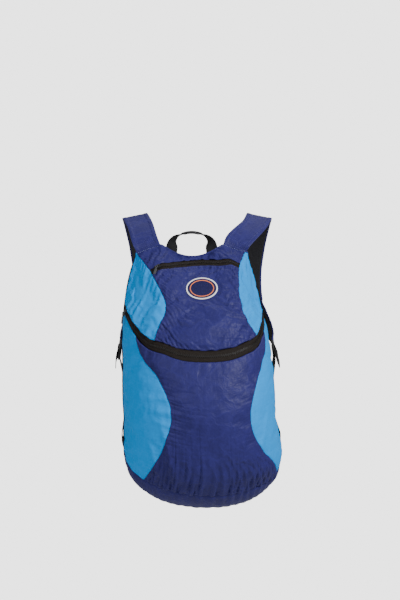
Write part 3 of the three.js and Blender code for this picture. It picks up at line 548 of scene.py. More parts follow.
def finish(name):
    """The material of that name, made the first time that it is asked for."""
    if name not in FINISHES:
        c = bpy.context.scene.bag_colours
        looks = {
            "navy_nylon": (nylon_finish, c.navy),
            # Turquoise nylon takes a weaker gloss and a weaker painted sheen on its creases.
            "turquoise_nylon": (nylon_finish, c.turquoise, 0.05, 0.3),
            "black_mesh": (mesh_finish, c.black),
            "black_webbing": (webbing_finish, c.black),
            "zip_tape": (webbing_finish, c.tape, 0.0011),
            "zip_coil": (plastic_finish, shade(c.tape, 0.8), 0.55),
            "black_plastic": (plastic_finish, c.black),
            "zip_metal": (plastic_finish, shade(c.black, 1.6), 0.28),
            "grey_cord": (thread_finish, c.grey),
            "patch_rim": (thread_finish, c.rim),
            "patch_field": (webbing_finish, shade(c.navy, 0.35), 0.0014),
            "patch_ring": (thread_finish, c.orange),
            "pale_thread": (thread_finish, c.thread),
            "navy_thread": (thread_finish, shade(c.navy, 1.5)),
            "turquoise_thread": (thread_finish, shade(c.turquoise, 0.8)),
            "floor": (stage_finish, c.floor),
        }
        make, *values = looks[name]
        FINISHES[name] = make(name, *values)
    return FINISHES[name]


def clear_selection():
    """Deselects every object."""
    for other in bpy.context.selected_objects:
        other.select_set(False)


def apply_place():
    """Applies the selected object's place, turn and scale to its mesh."""
    bpy.ops.object.transform_apply(location=True, rotation=True, scale=True)


def make_active(obj):
    """Deselects everything, then selects this object and makes it the active one."""
    clear_selection()
    obj.select_set(True)
    bpy.context.view_layer.objects.active = obj


def add_mesh(name, vertices, faces, uv=None):
    """New object from vertices in metres; uv gives each vertex its metres along and across."""
    mesh = bpy.data.meshes.new(name)
    mesh.from_pydata(np.asarray(vertices).tolist(), [], faces)
    if uv is not None:
        layer = mesh.uv_layers.new(name="cloth")
        loops = np.empty(len(mesh.loops), int)
        mesh.loops.foreach_get("vertex_index", loops)
        layer.data.foreach_set("uv", np.asarray(uv, float)[loops].ravel())
    obj = bpy.data.objects.new(name, mesh)
    bpy.context.scene.collection.objects.link(obj)
    return obj


def apply_modifiers(obj):
    """Applies the object's modifiers in order."""
    make_active(obj)
    for modifier in list(obj.modifiers):
        bpy.ops.object.modifier_apply(modifier=modifier.name)


def smooth_shading(obj, angle=60.0):
    """Smooth faces, with edges sharper than the angle left crisp."""
    make_active(obj)
    bpy.ops.object.shade_smooth_by_angle(angle=angle * DEGREE)


def settle_in(obj, material, nodes=()):
    """Gives a finished piece its material, body, slot and the nodes that it stands for."""
    obj.data.materials.clear()
    obj.data.materials.append(finish(material))
    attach(obj, BODY)
    if nodes:
        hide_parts(*nodes)
        obj.name = f"{nodes[0]}_dressed"
    return obj


def grid_faces(rows, columns, offset=0):
    """Quads of a grid of vertices that faces the way of columns times rows."""
    r, c = np.meshgrid(np.arange(rows - 1), np.arange(columns - 1), indexing="ij")
    a = (r * columns + c + offset).ravel()
    return np.stack([a, a + 1, a + columns + 1, a + columns], axis=1).tolist()


CLOTH = {
    "quality": 5, "mass": 0.1, "tension_stiffness": 14, "compression_stiffness": 14, "shear_stiffness": 5,
    "bending_stiffness": 0.03, "air_damping": 2, "vertex_group_mass": "hold", "pin_stiffness": 1.0,
    "use_pressure": True,
}
SETTLE_REACH = 7.0


def settle_cloth(points, hold, slack_share, pressure):
    """Lets a grid of cloth settle between its seams and gives its new points, in millimetres.

    hold is 1 where the cloth is held. A quick run leaves the cloth as it is.
    """
    sizes = bpy.context.scene.bag_sizes
    rows, columns = points.shape[:2]
    obj = add_mesh("settling_cloth", points.reshape(-1, 3) * MM, grid_faces(rows, columns))
    group = obj.vertex_groups.new(name="hold")
    flat = np.round(hold.ravel(), 3)
    for weight in np.unique(flat):
        group.add(np.flatnonzero(flat == weight).tolist(), float(weight), "REPLACE")
    modifier = obj.modifiers.new("Cloth", "CLOTH")
    cloth = modifier.settings
    for setting, value in CLOTH.items():
        setattr(cloth, setting, value)
    cloth.shrink_min = -sizes.slack * slack_share
    cloth.uniform_pressure_force = pressure
    cloth.effector_weights.gravity = 0
    modifier.point_cache.frame_start = 1
    modifier.point_cache.frame_end = sizes.settle_frames
    scene = bpy.context.scene
    for step in range(1, sizes.settle_frames + 1):
        scene.frame_set(step)
    settled = obj.evaluated_get(bpy.context.evaluated_depsgraph_get()).to_mesh()
    moved = np.empty(rows * columns * 3)
    settled.vertices.foreach_get("co", moved)
    bpy.data.objects.remove(obj, do_unlink=True)
    scene.frame_set(1)
    shift = moved.reshape(points.shape) / MM - points
    reach = np.linalg.norm(shift, axis=-1, keepdims=True)
    return points + shift * np.minimum(1.0, SETTLE_REACH / np.maximum(reach, 1e-9))


def grid_normals(points):
    """Outward directions of a grid of points."""
    return unit(np.cross(np.gradient(points, axis=1), np.gradient(points, axis=0)))


RUMPLE = {"waves": 28, "shortest": 9, "longest": 34, "bend": 6, "bend_length": 90, "height": 0.11}


def rumple(turn, rise, seed):
    """Small uneven waves that give the cloth something to buckle from, in millimetres."""
    rng = np.random.RandomState(seed)
    x = girth(turn)
    z = rise * HEIGHT
    total = np.zeros(np.broadcast(x, z).shape)
    for _ in range(RUMPLE["waves"]):
        angle = rng.uniform(0, np.pi)
        length = rng.uniform(RUMPLE["shortest"], RUMPLE["longest"])
        phase = rng.uniform(0, 2 * np.pi)
        drift = x * rng.uniform(-1, 1) + z * rng.uniform(-1, 1)
        bend = RUMPLE["bend"] * np.sin(2 * np.pi * drift / RUMPLE["bend_length"] + phase)
        along = x * np.cos(angle) + z * np.sin(angle) + bend
        total += length / RUMPLE["longest"] * np.sin(2 * np.pi * along / length + phase)
    return total * RUMPLE["height"]


FINE = [(6.3, 0.5), (8.7, 0.6), (12.5, 0.5), (4.4, 0.25)]


def seam_puckers(along, away, reach, seed, slant):
    """Short ridges that stand square to a seam and die away from it, in millimetres."""
    ridge = rng_wave(along + slant * away, FINE, seed)
    gather = rng_wave(along, [(70, 0.5), (43, 0.4)], seed + 1) * 0.5 + 0.8
    return ridge * gather * np.exp(-away / reach)


UNDER_RISE = 0.304
SLANT_FOLD = {"rise": 0.235, "slope": -0.0023, "reach": 38.0, "height": 4.0}


def pleats(along, away, pitch, height, reach, seed):
    """Gathers that leave a seam: wide ridges with sharp valleys between, each of its own length."""
    away = np.maximum(away, 0.0)
    drift = rng_wave(along, [(47, 0.22 * pitch), (19, 0.1 * pitch)], seed)
    ridge = np.abs(np.sin(np.pi * (along + drift) / pitch)) ** 0.8 - 0.35
    length = reach * (1 + rng_wave(along, [(2.7 * pitch, 0.3), (1.7 * pitch, 0.28)], seed + 1))
    start = np.minimum(1, 0.3 + away / 4.0)
    return height * start * ridge * np.exp(-((away / np.maximum(length, 5.0)) ** 1.4))


# Pitch, height and reach of the pleats at each seam, in millimetres, and their seed
PLEATS = {
    "bottom": (7.6, 2.7, 40, 31),
    "underside": (7.6, 0.8, 14, 31),
    "lower_left": (6.4, 1.1, 24, 33),
    "lower_right": (6.4, 1.1, 24, 35),
    "main_zip": (7.2, 1.5, 13, 41),
    "upper_left": (7.0, 1.6, 30, 43),
    "upper_right": (7.0, 1.6, 30, 45),
    "top_zip": (8.0, 0.9, 12, 47),
}
SEAM_EASE = 3.0
WAIST = {"rise": 0.24, "spread": 0.14}


def lower_relief(turn, rise):
    """Puckers and gathers of the panels below the main zip, in millimetres."""
    x = girth(turn)
    z = rise * HEIGHT
    left, right = LOWER_LEFT(rise), LOWER_RIGHT(rise)
    front = np.clip((turn - left) / SEAM_EASE, 0, 1) * np.clip((right - turn) / SEAM_EASE, 0, 1)
    above = rise >= 0
    away = np.abs(z)
    total = np.where(above, pleats(x, away, *PLEATS["bottom"]), pleats(x, away, *PLEATS["underside"]))
    total = total * (0.35 + 0.65 * front)
    for line, seam, share in ((left, "lower_left", 1.0), (right, "lower_right", 0.4)):
        away = girth(np.abs(turn - line))
        wanted = share * np.where(turn * np.sign(line) < np.abs(line), 1.0, 0.45)
        waist = 0.4 + 0.6 * np.exp(-((rise - WAIST["rise"]) / WAIST["spread"]) ** 2)
        total = total + np.where(above, wanted * waist * pleats(z, away, *PLEATS[seam]), 0.0)
    near_zip = (MAIN_LOW(turn) - rise) * HEIGHT
    above_fold = (rise - SLANT_FOLD["rise"] - SLANT_FOLD["slope"] * x) * HEIGHT / SLANT_FOLD["reach"]
    fold = SLANT_FOLD["height"] * above_fold * np.exp(-(above_fold ** 2))
    return total + front * fold + 0.25 * seam_puckers(x, near_zip, 7, 37, 0.12)


def upper_relief(turn, rise):
    """Puckers and gathers of the panels above the main zip, in millimetres."""
    x = girth(turn)
    z = rise * HEIGHT
    left, right = UPPER_LEFT(rise), UPPER_RIGHT(rise)
    inside = np.clip((turn - left) / SEAM_EASE, 0, 1) * np.clip((right - turn) / SEAM_EASE, 0, 1)
    total = 0.55 * pleats(x, (rise - MAIN_HIGH(turn)) * HEIGHT, *PLEATS["main_zip"])
    for line, seam, slant in ((left, "upper_left", 0.45), (right, "upper_right", -0.35)):
        away = girth(np.abs(turn - line))
        wanted = np.where((turn - line) * np.sign(-line) > 0, 1.0, 0.4)
        total = total + wanted * pleats(z + slant * away, away, *PLEATS[seam])
    below = rise < TOP_LOW(turn)
    near = np.abs(rise - TOP_LOW(turn)) * HEIGHT
    total = total + inside * np.where(below, pleats(x + 0.5 * near, near, *PLEATS["top_zip"]), 0.25)
    return total * (1 - badge_cover(turn, rise))


def badge_cover(turn, rise):
    """1 under the patch, where the cloth lies flat, and 0 away from it."""
    middle = smooth_point(BADGE["turn"], BADGE["rise"])
    size = (BADGE["length"], BADGE["length"], BADGE["height"])
    away = np.linalg.norm((smooth_point(turn, rise) - middle) / size, axis=-1)
    return np.clip((0.66 - away) / 0.12, 0, 1)


def cells(length_mm):
    """How many cells of cloth fit a length."""
    coarse = 1.0
    return max(4, int(round(length_mm * MM / bpy.context.scene.bag_sizes.cell / coarse)))


# Lengths of cloth along each side of a block, in millimetres
LOWER_CLOTH = {"height": 262, "side": 112, "front": 196, "under": 104}
UPPER_CLOTH = {"height": 146, "yoke": 34, "left": 86, "front": 176, "right": 76}
TAPE_ROWS = 3
# Share of the cloth's slack and the pressure that settle each block
SETTLING = {"lower": (0.15, 1.8), "upper": (1.05, 2.2)}


def lower_block():
    """Turn, rise, points and panel columns of the body below the main zip, with the underside."""
    rows = cells(LOWER_CLOTH["height"])
    counts = [cells(LOWER_CLOTH[part]) for part in ("side", "front", "side")]
    rises = [np.linspace(0, meeting(seam, MAIN_LOW), rows + 1) for seam in (LOWER_LEFT, LOWER_RIGHT)]
    edges = [np.linspace(0, float(MAIN_LOW(turn)), rows + 1) for turn in (-90.0, 90.0)]
    bottom = constant(0)
    left = patch(bottom, MAIN_LOW, constant(-90), LOWER_LEFT, edges[0], rises[0], counts[0])
    front = patch(bottom, MAIN_LOW, LOWER_LEFT, LOWER_RIGHT, rises[0], rises[1], counts[1])
    right = patch(bottom, MAIN_LOW, LOWER_RIGHT, constant(90), rises[1], edges[1], counts[2])
    turn, rise = np.concatenate([left, front[:, :, 1:], right[:, :, 1:]], axis=2)
    points = body_point(turn, rise, rumple(turn, rise, 5))
    points[:, [0, -1]] = body_point(turn[:, [0, -1]], rise[:, [0, -1]])
    under_rows = cells(LOWER_CLOTH["under"])
    along = np.linspace(0, 1, under_rows + 1)[1:, None]
    seam_turn = np.clip(turn[:1], -89.7, 89.7)
    under = bottom_point(seam_turn, along)
    relief = fold_relief(seam_turn, 0.0) * (1 - along) ** 2 + 0.6 * rumple(seam_turn, -along * 0.3, 9)
    under += -grid_normals(under) * (relief * np.minimum(1, (1 - along) * 6))[..., None]
    points = np.concatenate([under[::-1], points])
    turn = np.concatenate([np.repeat(turn[:1], under_rows, axis=0), turn])
    rise = np.concatenate([np.broadcast_to(-along[::-1] * UNDER_RISE, (under_rows, turn.shape[1])), rise])
    return turn, rise, points, np.cumsum((0, *counts)), under_rows


def upper_block():
    """Turn, rise, points, panel columns and rows of the body above the main zip."""
    rows = (cells(UPPER_CLOTH["height"]), TAPE_ROWS, cells(UPPER_CLOTH["yoke"]))
    counts = [cells(UPPER_CLOTH[part]) for part in ("left", "front", "right")]
    stops = []
    for seam in (UPPER_LEFT, UPPER_RIGHT):
        low, mid, high = (meeting(seam, edge) for edge in (MAIN_HIGH, TOP_LOW, TOP_HIGH))
        spans = ((low, mid), (mid, high), (high, 1.0))
        stops.append([np.linspace(*ends, n + 1) for ends, n in zip(spans, rows)])
    total = sum(rows)
    edges = [np.linspace(float(MAIN_HIGH(turn)), 1.0, total + 1) for turn in (-90.0, 90.0)]
    whole = [np.concatenate([s[0], s[1][1:], s[2][1:]]) for s in stops]
    top = constant(1)
    left = patch(MAIN_HIGH, top, constant(-90), UPPER_LEFT, edges[0], whole[0], counts[0])
    right = patch(MAIN_HIGH, top, UPPER_RIGHT, constant(90), whole[1], edges[1], counts[2])
    lines = (MAIN_HIGH, TOP_LOW, TOP_HIGH, top)
    bands = [
        patch(lines[i], lines[i + 1], UPPER_LEFT, UPPER_RIGHT, stops[0][i], stops[1][i], counts[1])
        for i in range(3)
    ]
    front = np.concatenate([bands[0], bands[1][:, 1:], bands[2][:, 1:]], axis=1)
    turn, rise = np.concatenate([left, front[:, :, 1:], right[:, :, 1:]], axis=2)
    points = body_point(turn, rise, rumple(turn, rise, 6))
    points[:, [0, -1]] = body_point(turn[:, [0, -1]], rise[:, [0, -1]])
    return turn, rise, clear_of_back(points), np.cumsum((0, *counts)), np.cumsum((0, *rows))


def midpoints(grid, axis):
    """The same grid with a row between each two, on a smooth curve."""
    g = np.moveaxis(grid, axis, 0)
    beyond = np.concatenate([2 * g[:1] - g[1:2], g, 2 * g[-1:] - g[-2:-1]])
    out = np.empty((2 * len(g) - 1, *g.shape[1:]))
    out[::2] = g
    out[1::2] = (9 * (g[:-1] + g[1:]) - beyond[:-3] - beyond[3:]) / 16
    return np.moveaxis(out, 0, axis)


def cloth_panel(name, points, turn, rise, material, sink_edges, relief=None, fine=False):
    """Cloth with its edges turned in to the seams and a wall behind it. Returns its points and normals."""
    sizes = bpy.context.scene.bag_sizes
    if fine:
        points, turn, rise = (midpoints(midpoints(g, 0), 1) for g in (points, turn, rise))
    normals = grid_normals(points)
    if relief is not None:
        points = points + normals * relief(turn, rise)[..., None]
    seam = points.copy()
    sink = sizes.seam_sink / MM
    rims = {"b": np.s_[0, :], "t": np.s_[-1, :], "l": np.s_[:, 0], "r": np.s_[:, -1]}
    lowered = np.zeros(points.shape[:2])
    for edge in sink_edges:
        lowered[rims[edge]] = 1.0
    seam -= normals * (lowered * sink)[..., None]
    clear_of_back(seam)
    rows, columns = points.shape[:2]
    uv = np.stack([girth(turn) * MM, rise * HEIGHT * MM], axis=-1)
    obj = add_mesh(name, seam.reshape(-1, 3) * MM, grid_faces(rows, columns), uv.reshape(-1, 2))
    wall = obj.modifiers.new("Wall", "SOLIDIFY")
    wall.thickness = sizes.cloth_thickness
    wall.offset = -1
    apply_modifiers(obj)
    smooth_shading(obj, 50.0)
    settle_in(obj, material, (name,))
    return seam, grid_normals(seam)


STITCH_ROWS = []
STITCH = {"length": 0.36, "width": 0.3, "height": 0.34}


def note_stitches(points, normals, material, lift=0.15):
    """Keeps a row of points for the stitching, in millimetres."""
    STITCH_ROWS.append((points + normals * lift, normals, material))


def distances(points):
    """Distance travelled along a row of points."""
    return np.concatenate([[0], np.cumsum(np.linalg.norm(np.diff(points, axis=0), axis=1))])


def walk(points, spacing):
    """Distances along a row of points, and evenly spaced places on it."""
    travelled = distances(points)
    return travelled, np.arange(spacing / 2, travelled[-1], spacing)


def read_off(places, knots, values):
    """Directions or points between their knots."""
    return np.stack([np.interp(places, knots, values[:, k]) for k in range(3)], axis=1)


def add_stitching():
    """Every row of stitches, as one piece for each colour of thread. Panels and straps come first."""
    if not STITCH_ROWS:
        raise RuntimeError("the panels and straps come before their stitching")
    pitch = bpy.context.scene.bag_sizes.stitch_pitch / MM
    by_colour = {}
    for points, normals, material in STITCH_ROWS:
        travelled, places = walk(points, pitch)
        at = read_off(places, travelled, points)
        ahead = read_off(places + 0.2, travelled, points)
        out = read_off(places, travelled, normals)
        by_colour.setdefault(material, []).append((at, unit(ahead - at), unit(out)))
    for material, rows in by_colour.items():
        at, along, out = (np.concatenate([row[k] for row in rows]) for k in range(3))
        side = np.cross(out, along)
        length, width, height = pitch * STITCH["length"], STITCH["width"], STITCH["height"]
        corners = [at - along * length, at + along * length]
        for bulge in (side * width, -side * width, out * height, -out * height):
            corners += [at - along * length * 0.4 + bulge, at + along * length * 0.4 + bulge]
        vertices = np.stack(corners, axis=1).reshape(-1, 3) * MM
        cell = []
        for a, b in ((2, 6), (6, 4), (4, 8), (8, 2)):
            cell += [(0, a, b), (1, b + 1, a + 1), (a, a + 1, b + 1, b)]
        faces = [[10 * i + k for k in face] for i in range(len(at)) for face in cell]
        obj = add_mesh(f"stitching_{material}", vertices, faces)
        recalculate(obj)
        settle_in(obj, material)


def recalculate(obj):
    """Turns every face outwards."""
    mesh = bmesh.new()
    mesh.from_mesh(obj.data)
    bmesh.ops.recalc_face_normals(mesh, faces=mesh.faces)
    mesh.to_mesh(obj.data)
    mesh.free()


def tube_faces(rings, around):
    """Quads between closed rings of vertices."""
    faces = []
    for i in range(rings - 1):
        for j in range(around):
            a, b = i * around + j, i * around + (j + 1) % around
            faces.append((a, b, b + around, a + around))
    return faces


def rounded(shares, reach):
    """1 over the middle of a strip, and less within reach of its edges."""
    return np.clip((1 - np.abs(shares)) / reach, 0, 1)[None, :] ** 0.5


def band(name, place, facing, across, half_width, outer, inner, shares):
    """Closed strip along stations. outer and inner are heights for each station and share, in millimetres."""
    count, wide = len(place), len(shares)
    shares = np.asarray(shares, float)
    offset = across[:, None, :] * (half_width[:, None] * shares[None, :])[..., None]
    top = place[:, None, :] + offset + facing[:, None, :] * outer[..., None]
    low = place[:, None, :] + offset + facing[:, None, :] * inner[..., None]
    ring = np.concatenate([top, low[:, ::-1]], axis=1)
    width = 2 * wide
    length = distances(place)
    v = half_width[:, None] * np.concatenate([shares, shares[::-1]])[None, :]
    uv = np.stack(np.broadcast_arrays(length[:, None], v), axis=-1) * MM
    faces = tube_faces(count, width)
    for start in (0, (count - 1) * width):
        for j in range(wide - 1):
            faces.append((start + j, start + j + 1, start + width - 2 - j, start + width - 1 - j))
    obj = add_mesh(name, ring.reshape(-1, 3) * MM, faces, uv.reshape(-1, 2))
    recalculate(obj)
    smooth_shading(obj, 55.0)
    return obj


def catmull(rows, count):
    """Centripetal curve through rows of points: places and directions at even shares of the rows."""
    p = np.asarray(rows, float)
    p = np.concatenate([[2 * p[0] - p[1]], p, [2 * p[-1] - p[-2]]])
    places, tangents = [], []
    segments = len(rows) - 1

    def at(t):
        s = min(max(t, 0.0), 1.0) * segments
        i = min(int(s), segments - 1)
        w = s - i
        a, b, c, d = p[i:i + 4]
        d0, d1, d2 = (max(np.sum((q - r) ** 2) ** 0.25, 1e-4) for q, r in ((a, b), (b, c), (c, d)))
        t1 = ((b - a) / d0 - (c - a) / (d0 + d1) + (c - b) / d1) * d1
        t2 = ((c - b) / d1 - (d - b) / (d1 + d2) + (d - c) / d2) * d1
        return b + t1 * w + (-3 * b + 3 * c - 2 * t1 - t2) * w**2 + (2 * b - 2 * c + t1 + t2) * w**3

    for t in np.linspace(0, 1, count + 1):
        places.append(at(t))
        tangents.append(at(min(t + 1e-4, 1.0)) - at(max(t - 1e-4, 0.0)))
    return np.array(places), unit(np.array(tangents))


def stations(rows, count):
    """Places, directions and widths along a line of (point, facing, width) rows."""
    place, tangent = catmull([row[0] for row in rows], count)
    at = np.linspace(0, len(rows) - 1, count + 1)
    knots = np.arange(len(rows))
    facing = read_off(at, knots, np.array([row[1] for row in rows], float))
    width = np.interp(at, knots, [row[2] for row in rows])
    facing = unit(facing - tangent * np.sum(facing * tangent, axis=1, keepdims=True))
    return place, tangent, facing, np.cross(tangent, facing), width


def strap_stations(sign, count):
    """Stations of one shoulder strap, from its root on the top edge to its buckle."""
    half = HALF_WIDTH * SECTIONS["width"][-1]
    centre = LEAN * SECTIONS["lean"][-1]
    inner = np.array([centre + sign * half * ROOT_INNER, 0.0, -SHOULDER_RISE])
    outer = np.array([centre + sign * half, 0.0, float(top_edge(1.0))])
    edge = outer - inner
    upward = unit(np.array([-edge[2], 0.0, edge[0]]) * sign)
    root = (inner + outer) / 2 + upward * SEAT_GAP
    root[1] = STRAP_THICKNESS / 2 + STRAP_HEM / 2
    first = root + upward * FIRST_STEP[2] + np.array([sign * FIRST_STEP[0], FIRST_STEP[1], 0.0])
    root_width = np.linalg.norm(edge)
    rows = [
        (root, (0, -1, 0), root_width - 2 * BACK_MARGIN),
        (first, (0, -0.9, 0.44), (root_width + STRAP_WIDTH) / 2),
    ]
    for x, y, z, face_x, face_y, face_z, width in STRAP_LINE:
        point = np.array([sign * x * STRAP_HALF_SPAN, y * STRAP_REACH, z * STRAP_FALL])
        rows.append((point, (sign * face_x, face_y, face_z), width * STRAP_WIDTH))
    last = rows[-1]
    rows[-1] = (last[0], (last[1][0], END_TWIST[sign], 0.0), last[2])
    place, tangent, facing, across, width = stations(rows, count)
    facing[0] = (0, -1, 0)
    across[0] = unit(edge) * sign
    return place, tangent, facing, across, width


def lock_frame(sign):
    """Top, downward, outward and sideways directions of a buckle."""
    place, tangent, facing, _, _ = strap_stations(sign, 32)
    down = tangent[-1]
    return place[-1] + down * SEAT_GAP, down, facing[-1], np.cross(-down, facing[-1])


def repeated(name, at, axes, cell, faces):
    """One piece from a small closed shape repeated at many places, in millimetres."""
    cell = np.asarray(cell, float)
    corners = at[:, None, :] + sum(cell[None, :, k, None] * axes[k][:, None, :] for k in range(3))
    step = len(cell)
    everywhere = [[step * i + k for k in face] for i in range(len(at)) for face in faces]
    obj = add_mesh(name, corners.reshape(-1, 3) * MM, everywhere)
    recalculate(obj)
    return obj


BAR_FACES = ((0, 1, 2, 3), (4, 5, 6, 7), (0, 1, 5, 4), (1, 2, 6, 5), (2, 3, 7, 6), (3, 0, 4, 7))
BAR_TOP = (0.94, 0.6)


def bar_cell(length, width, height):
    """Small bar along x with a narrower top."""
    flat = [(x * length / 2, y * width / 2) for x, y in ((-1, -1), (1, -1), (1, 1), (-1, 1))]
    return [(x, y, 0) for x, y in flat] + [(x * BAR_TOP[0], y * BAR_TOP[1], height) for x, y in flat]


def join(name, parts):
    """Joins finished parts into one piece."""
    make_active(parts[0])
    for part in parts[1:]:
        part.select_set(True)
    bpy.ops.object.join()
    parts[0].name = name
    return parts[0]


def put(obj, matrix):
    """Puts a piece modelled at the origin in its place and applies that place to its mesh."""
    obj.matrix_world = matrix @ obj.matrix_world
    make_active(obj)
    apply_place()


def placing(origin, x_axis, y_axis, z_axis):
    """Matrix to a place given in millimetres."""
    rows = [[x_axis[k], y_axis[k], z_axis[k], origin[k] * MM] for k in range(3)]
    return Matrix([*rows, [0, 0, 0, 1]])


def block(size, place=(0, 0, 0), bevel=0.4, segments=2):
    """Cube at its size and place, in millimetres, with its edges bevelled in edit mode."""
    clear_selection()
    bpy.ops.mesh.primitive_cube_add(size=MM, location=[p * MM for p in place], scale=size)
    obj = bpy.context.object
    apply_place()
    bpy.ops.object.mode_set(mode="EDIT")
    bpy.ops.mesh.select_all(action="SELECT")
    bpy.ops.mesh.bevel(offset=bevel * MM, segments=segments, affect="EDGES")
    bpy.ops.object.mode_set(mode="OBJECT")
    return obj


def ring(major, minor, place=(0, 0, 0), turned=(0, 0, 0), sides=(28, 10)):
    """Torus at its size and place, in millimetres."""
    clear_selection()
    bpy.ops.mesh.primitive_torus_add(
        major_radius=major * MM, minor_radius=minor * MM, major_segments=sides[0], minor_segments=sides[1],
        location=[p * MM for p in place], rotation=[t * DEGREE for t in turned])
    obj = bpy.context.object
    apply_place()
    return obj


def select_faces(obj, test):
    """Enters edit mode with those faces selected whose centre and normal pass the test."""
    bpy.ops.object.mode_set(mode="OBJECT")
    for vertex in obj.data.vertices:
        vertex.select = False
    for edge in obj.data.edges:
        edge.select = False
    for face in obj.data.polygons:
        face.select = bool(test(face.center / MM, face.normal))
    bpy.ops.object.mode_set(mode="EDIT")
    bpy.ops.mesh.select_mode(type="FACE")


def seam_step():
    """How many rows a stitch line lies in from an edge."""
    return 2


def dress_lower_body():
    """Panels below the main zip and the underside."""
    turn, rise, points, columns, under = lower_block()
    hold = np.zeros(points.shape[:2])
    hold[[0, under, -1], :] = 1
    hold[:, columns] = 1
    points = settle_cloth(points, hold, *SETTLING["lower"])
    clear_of_back(points)
    a, b, c, d = columns
    top = slice(under, None)
    layout = (
        ("bottom_panel", slice(0, under + 1), slice(a, d + 1), "navy_nylon", "bt", False),
        ("lower_side_panel_left", top, slice(a, b + 1), "turquoise_nylon", "btr", False),
        ("lower_front_panel", top, slice(b, c + 1), "navy_nylon", "btlr", True),
        ("lower_side_panel_right", top, slice(c, d + 1), "turquoise_nylon", "btl", False),
    )
    for name, r, k, material, sink, fine in layout:
        grids = points[r, k], turn[r, k], rise[r, k]
        cloth, normals = cloth_panel(name, *grids, material, sink, lower_relief, fine)
        if name != "bottom_panel":
            step = 1 + (seam_step() if fine else 1)
            note_stitches(cloth[-step], normals[-step], material.replace("nylon", "thread"))


def dress_upper_body():
    """Panels above the main zip, round the small zip's tape."""
    turn, rise, points, columns, rows = upper_block()
    a, b, c, d = columns
    hold = badge_cover(turn, rise)
    hold[[0, -1], :] = 1
    hold[rows[1]:rows[2] + 1, b:c + 1] = 1
    hold[:, columns] = 1
    points = settle_cloth(points, hold, *SETTLING["upper"])
    points = clear_of_back(flatten_under_badge(points, turn, rise))
    whole = slice(0, rows[3] + 1)
    layout = (
        ("upper_side_panel_left", whole, slice(a, b + 1), "turquoise_nylon", "btr", False),
        ("upper_front_panel", slice(0, rows[1] + 1), slice(b, c + 1), "navy_nylon", "btlr", True),
        ("yoke", slice(rows[2], rows[3] + 1), slice(b, c + 1), "navy_nylon", "blr", True),
        ("upper_side_panel_right", whole, slice(c, d + 1), "turquoise_nylon", "btl", False),
    )
    for name, r, k, material, sink, fine in layout:
        grids = points[r, k], turn[r, k], rise[r, k]
        cloth, normals = cloth_panel(name, *grids, material, sink, upper_relief, fine)
        step = seam_step() if fine else 1
        thread = material.replace("nylon", "thread")
        if name == "yoke":
            note_stitches(cloth[-1 - step], normals[-1 - step], "pale_thread")
        else:
            note_stitches(cloth[step], normals[step], thread)
        if name == "upper_front_panel":
            note_stitches(cloth[-1 - step], normals[-1 - step], thread)


def dress_tape(name, low, high, left, right):
    """Tape of a zip, dished towards its teeth."""
    across = 13
    if left is None:
        edges = [np.linspace(float(low(t)), float(high(t)), across) for t in (-90.0, 90.0)]
        turn, rise = patch(low, high, constant(-90), constant(90), *edges, cells(420))
    else:
        edges = [np.linspace(meeting(s, low), meeting(s, high), across) for s in (left, right)]
        turn, rise = patch(low, high, left, right, *edges, cells(190))
    up = np.linspace(-1, 1, across)[:, None]
    dish = -0.7 - 0.5 * np.exp(-(up / 0.28) ** 2) + 0.35 * np.exp(-((np.abs(up) - 0.55) / 0.25) ** 2)
    x = girth(turn)
    ripple = rng_wave(x, [(31, 0.14), (17, 0.1)], 61) * (1 - up**2)
    points = body_point(turn, rise, dish + ripple)
    cloth_panel(name, points, turn, rise, "zip_tape", "bt")


def zip_frame(table, turn, height):
    """Place on the body with the directions along a zip, across it and outwards."""
    turn = np.asarray(turn, float)

    def at(t, lift=0.0):
        return body_point(t, curve_at(table, "turn", t, "rise"), lift)

    out = body_normal(turn, curve_at(table, "turn", turn, "rise"))
    along = at(turn + 0.4) - at(turn - 0.4)
    along = unit(along - out * np.sum(out * along, axis=-1, keepdims=True))
    return at(turn, height), along, np.cross(out, along), out


TEETH = {"pitch": 1.5, "sunk": 0.75, "length": 3.0, "width": 1.1, "height": 0.9, "aside": 0.8}


def dress_coil(name, table, start, end):
    """Two rows of teeth that mesh along a zip."""
    fine = np.linspace(start, end, 600)
    origin = zip_frame(table, fine, 0.0)[0]
    travelled, places = walk(origin, TEETH["pitch"])
    turn = np.interp(places, travelled, fine)
    at, along, across, out = zip_frame(table, turn, -TEETH["sunk"])
    side = np.where(np.arange(len(at)) % 2, 1.0, -1.0)[:, None]
    cell = bar_cell(TEETH["length"], TEETH["width"], TEETH["height"])
    obj = repeated(name, at + across * side * TEETH["aside"], (across, along, out), cell, BAR_FACES)
    settle_in(obj, "zip_coil", (name,))


def press_top(obj, border, height):
    """Raises or sinks the top of a plate inside its border."""
    select_faces(obj, lambda c, n: n.z > 0.9)
    bpy.ops.mesh.inset(thickness=border * MM)
    bpy.ops.transform.translate(value=(0, 0, height * MM))
    bpy.ops.object.mode_set(mode="OBJECT")


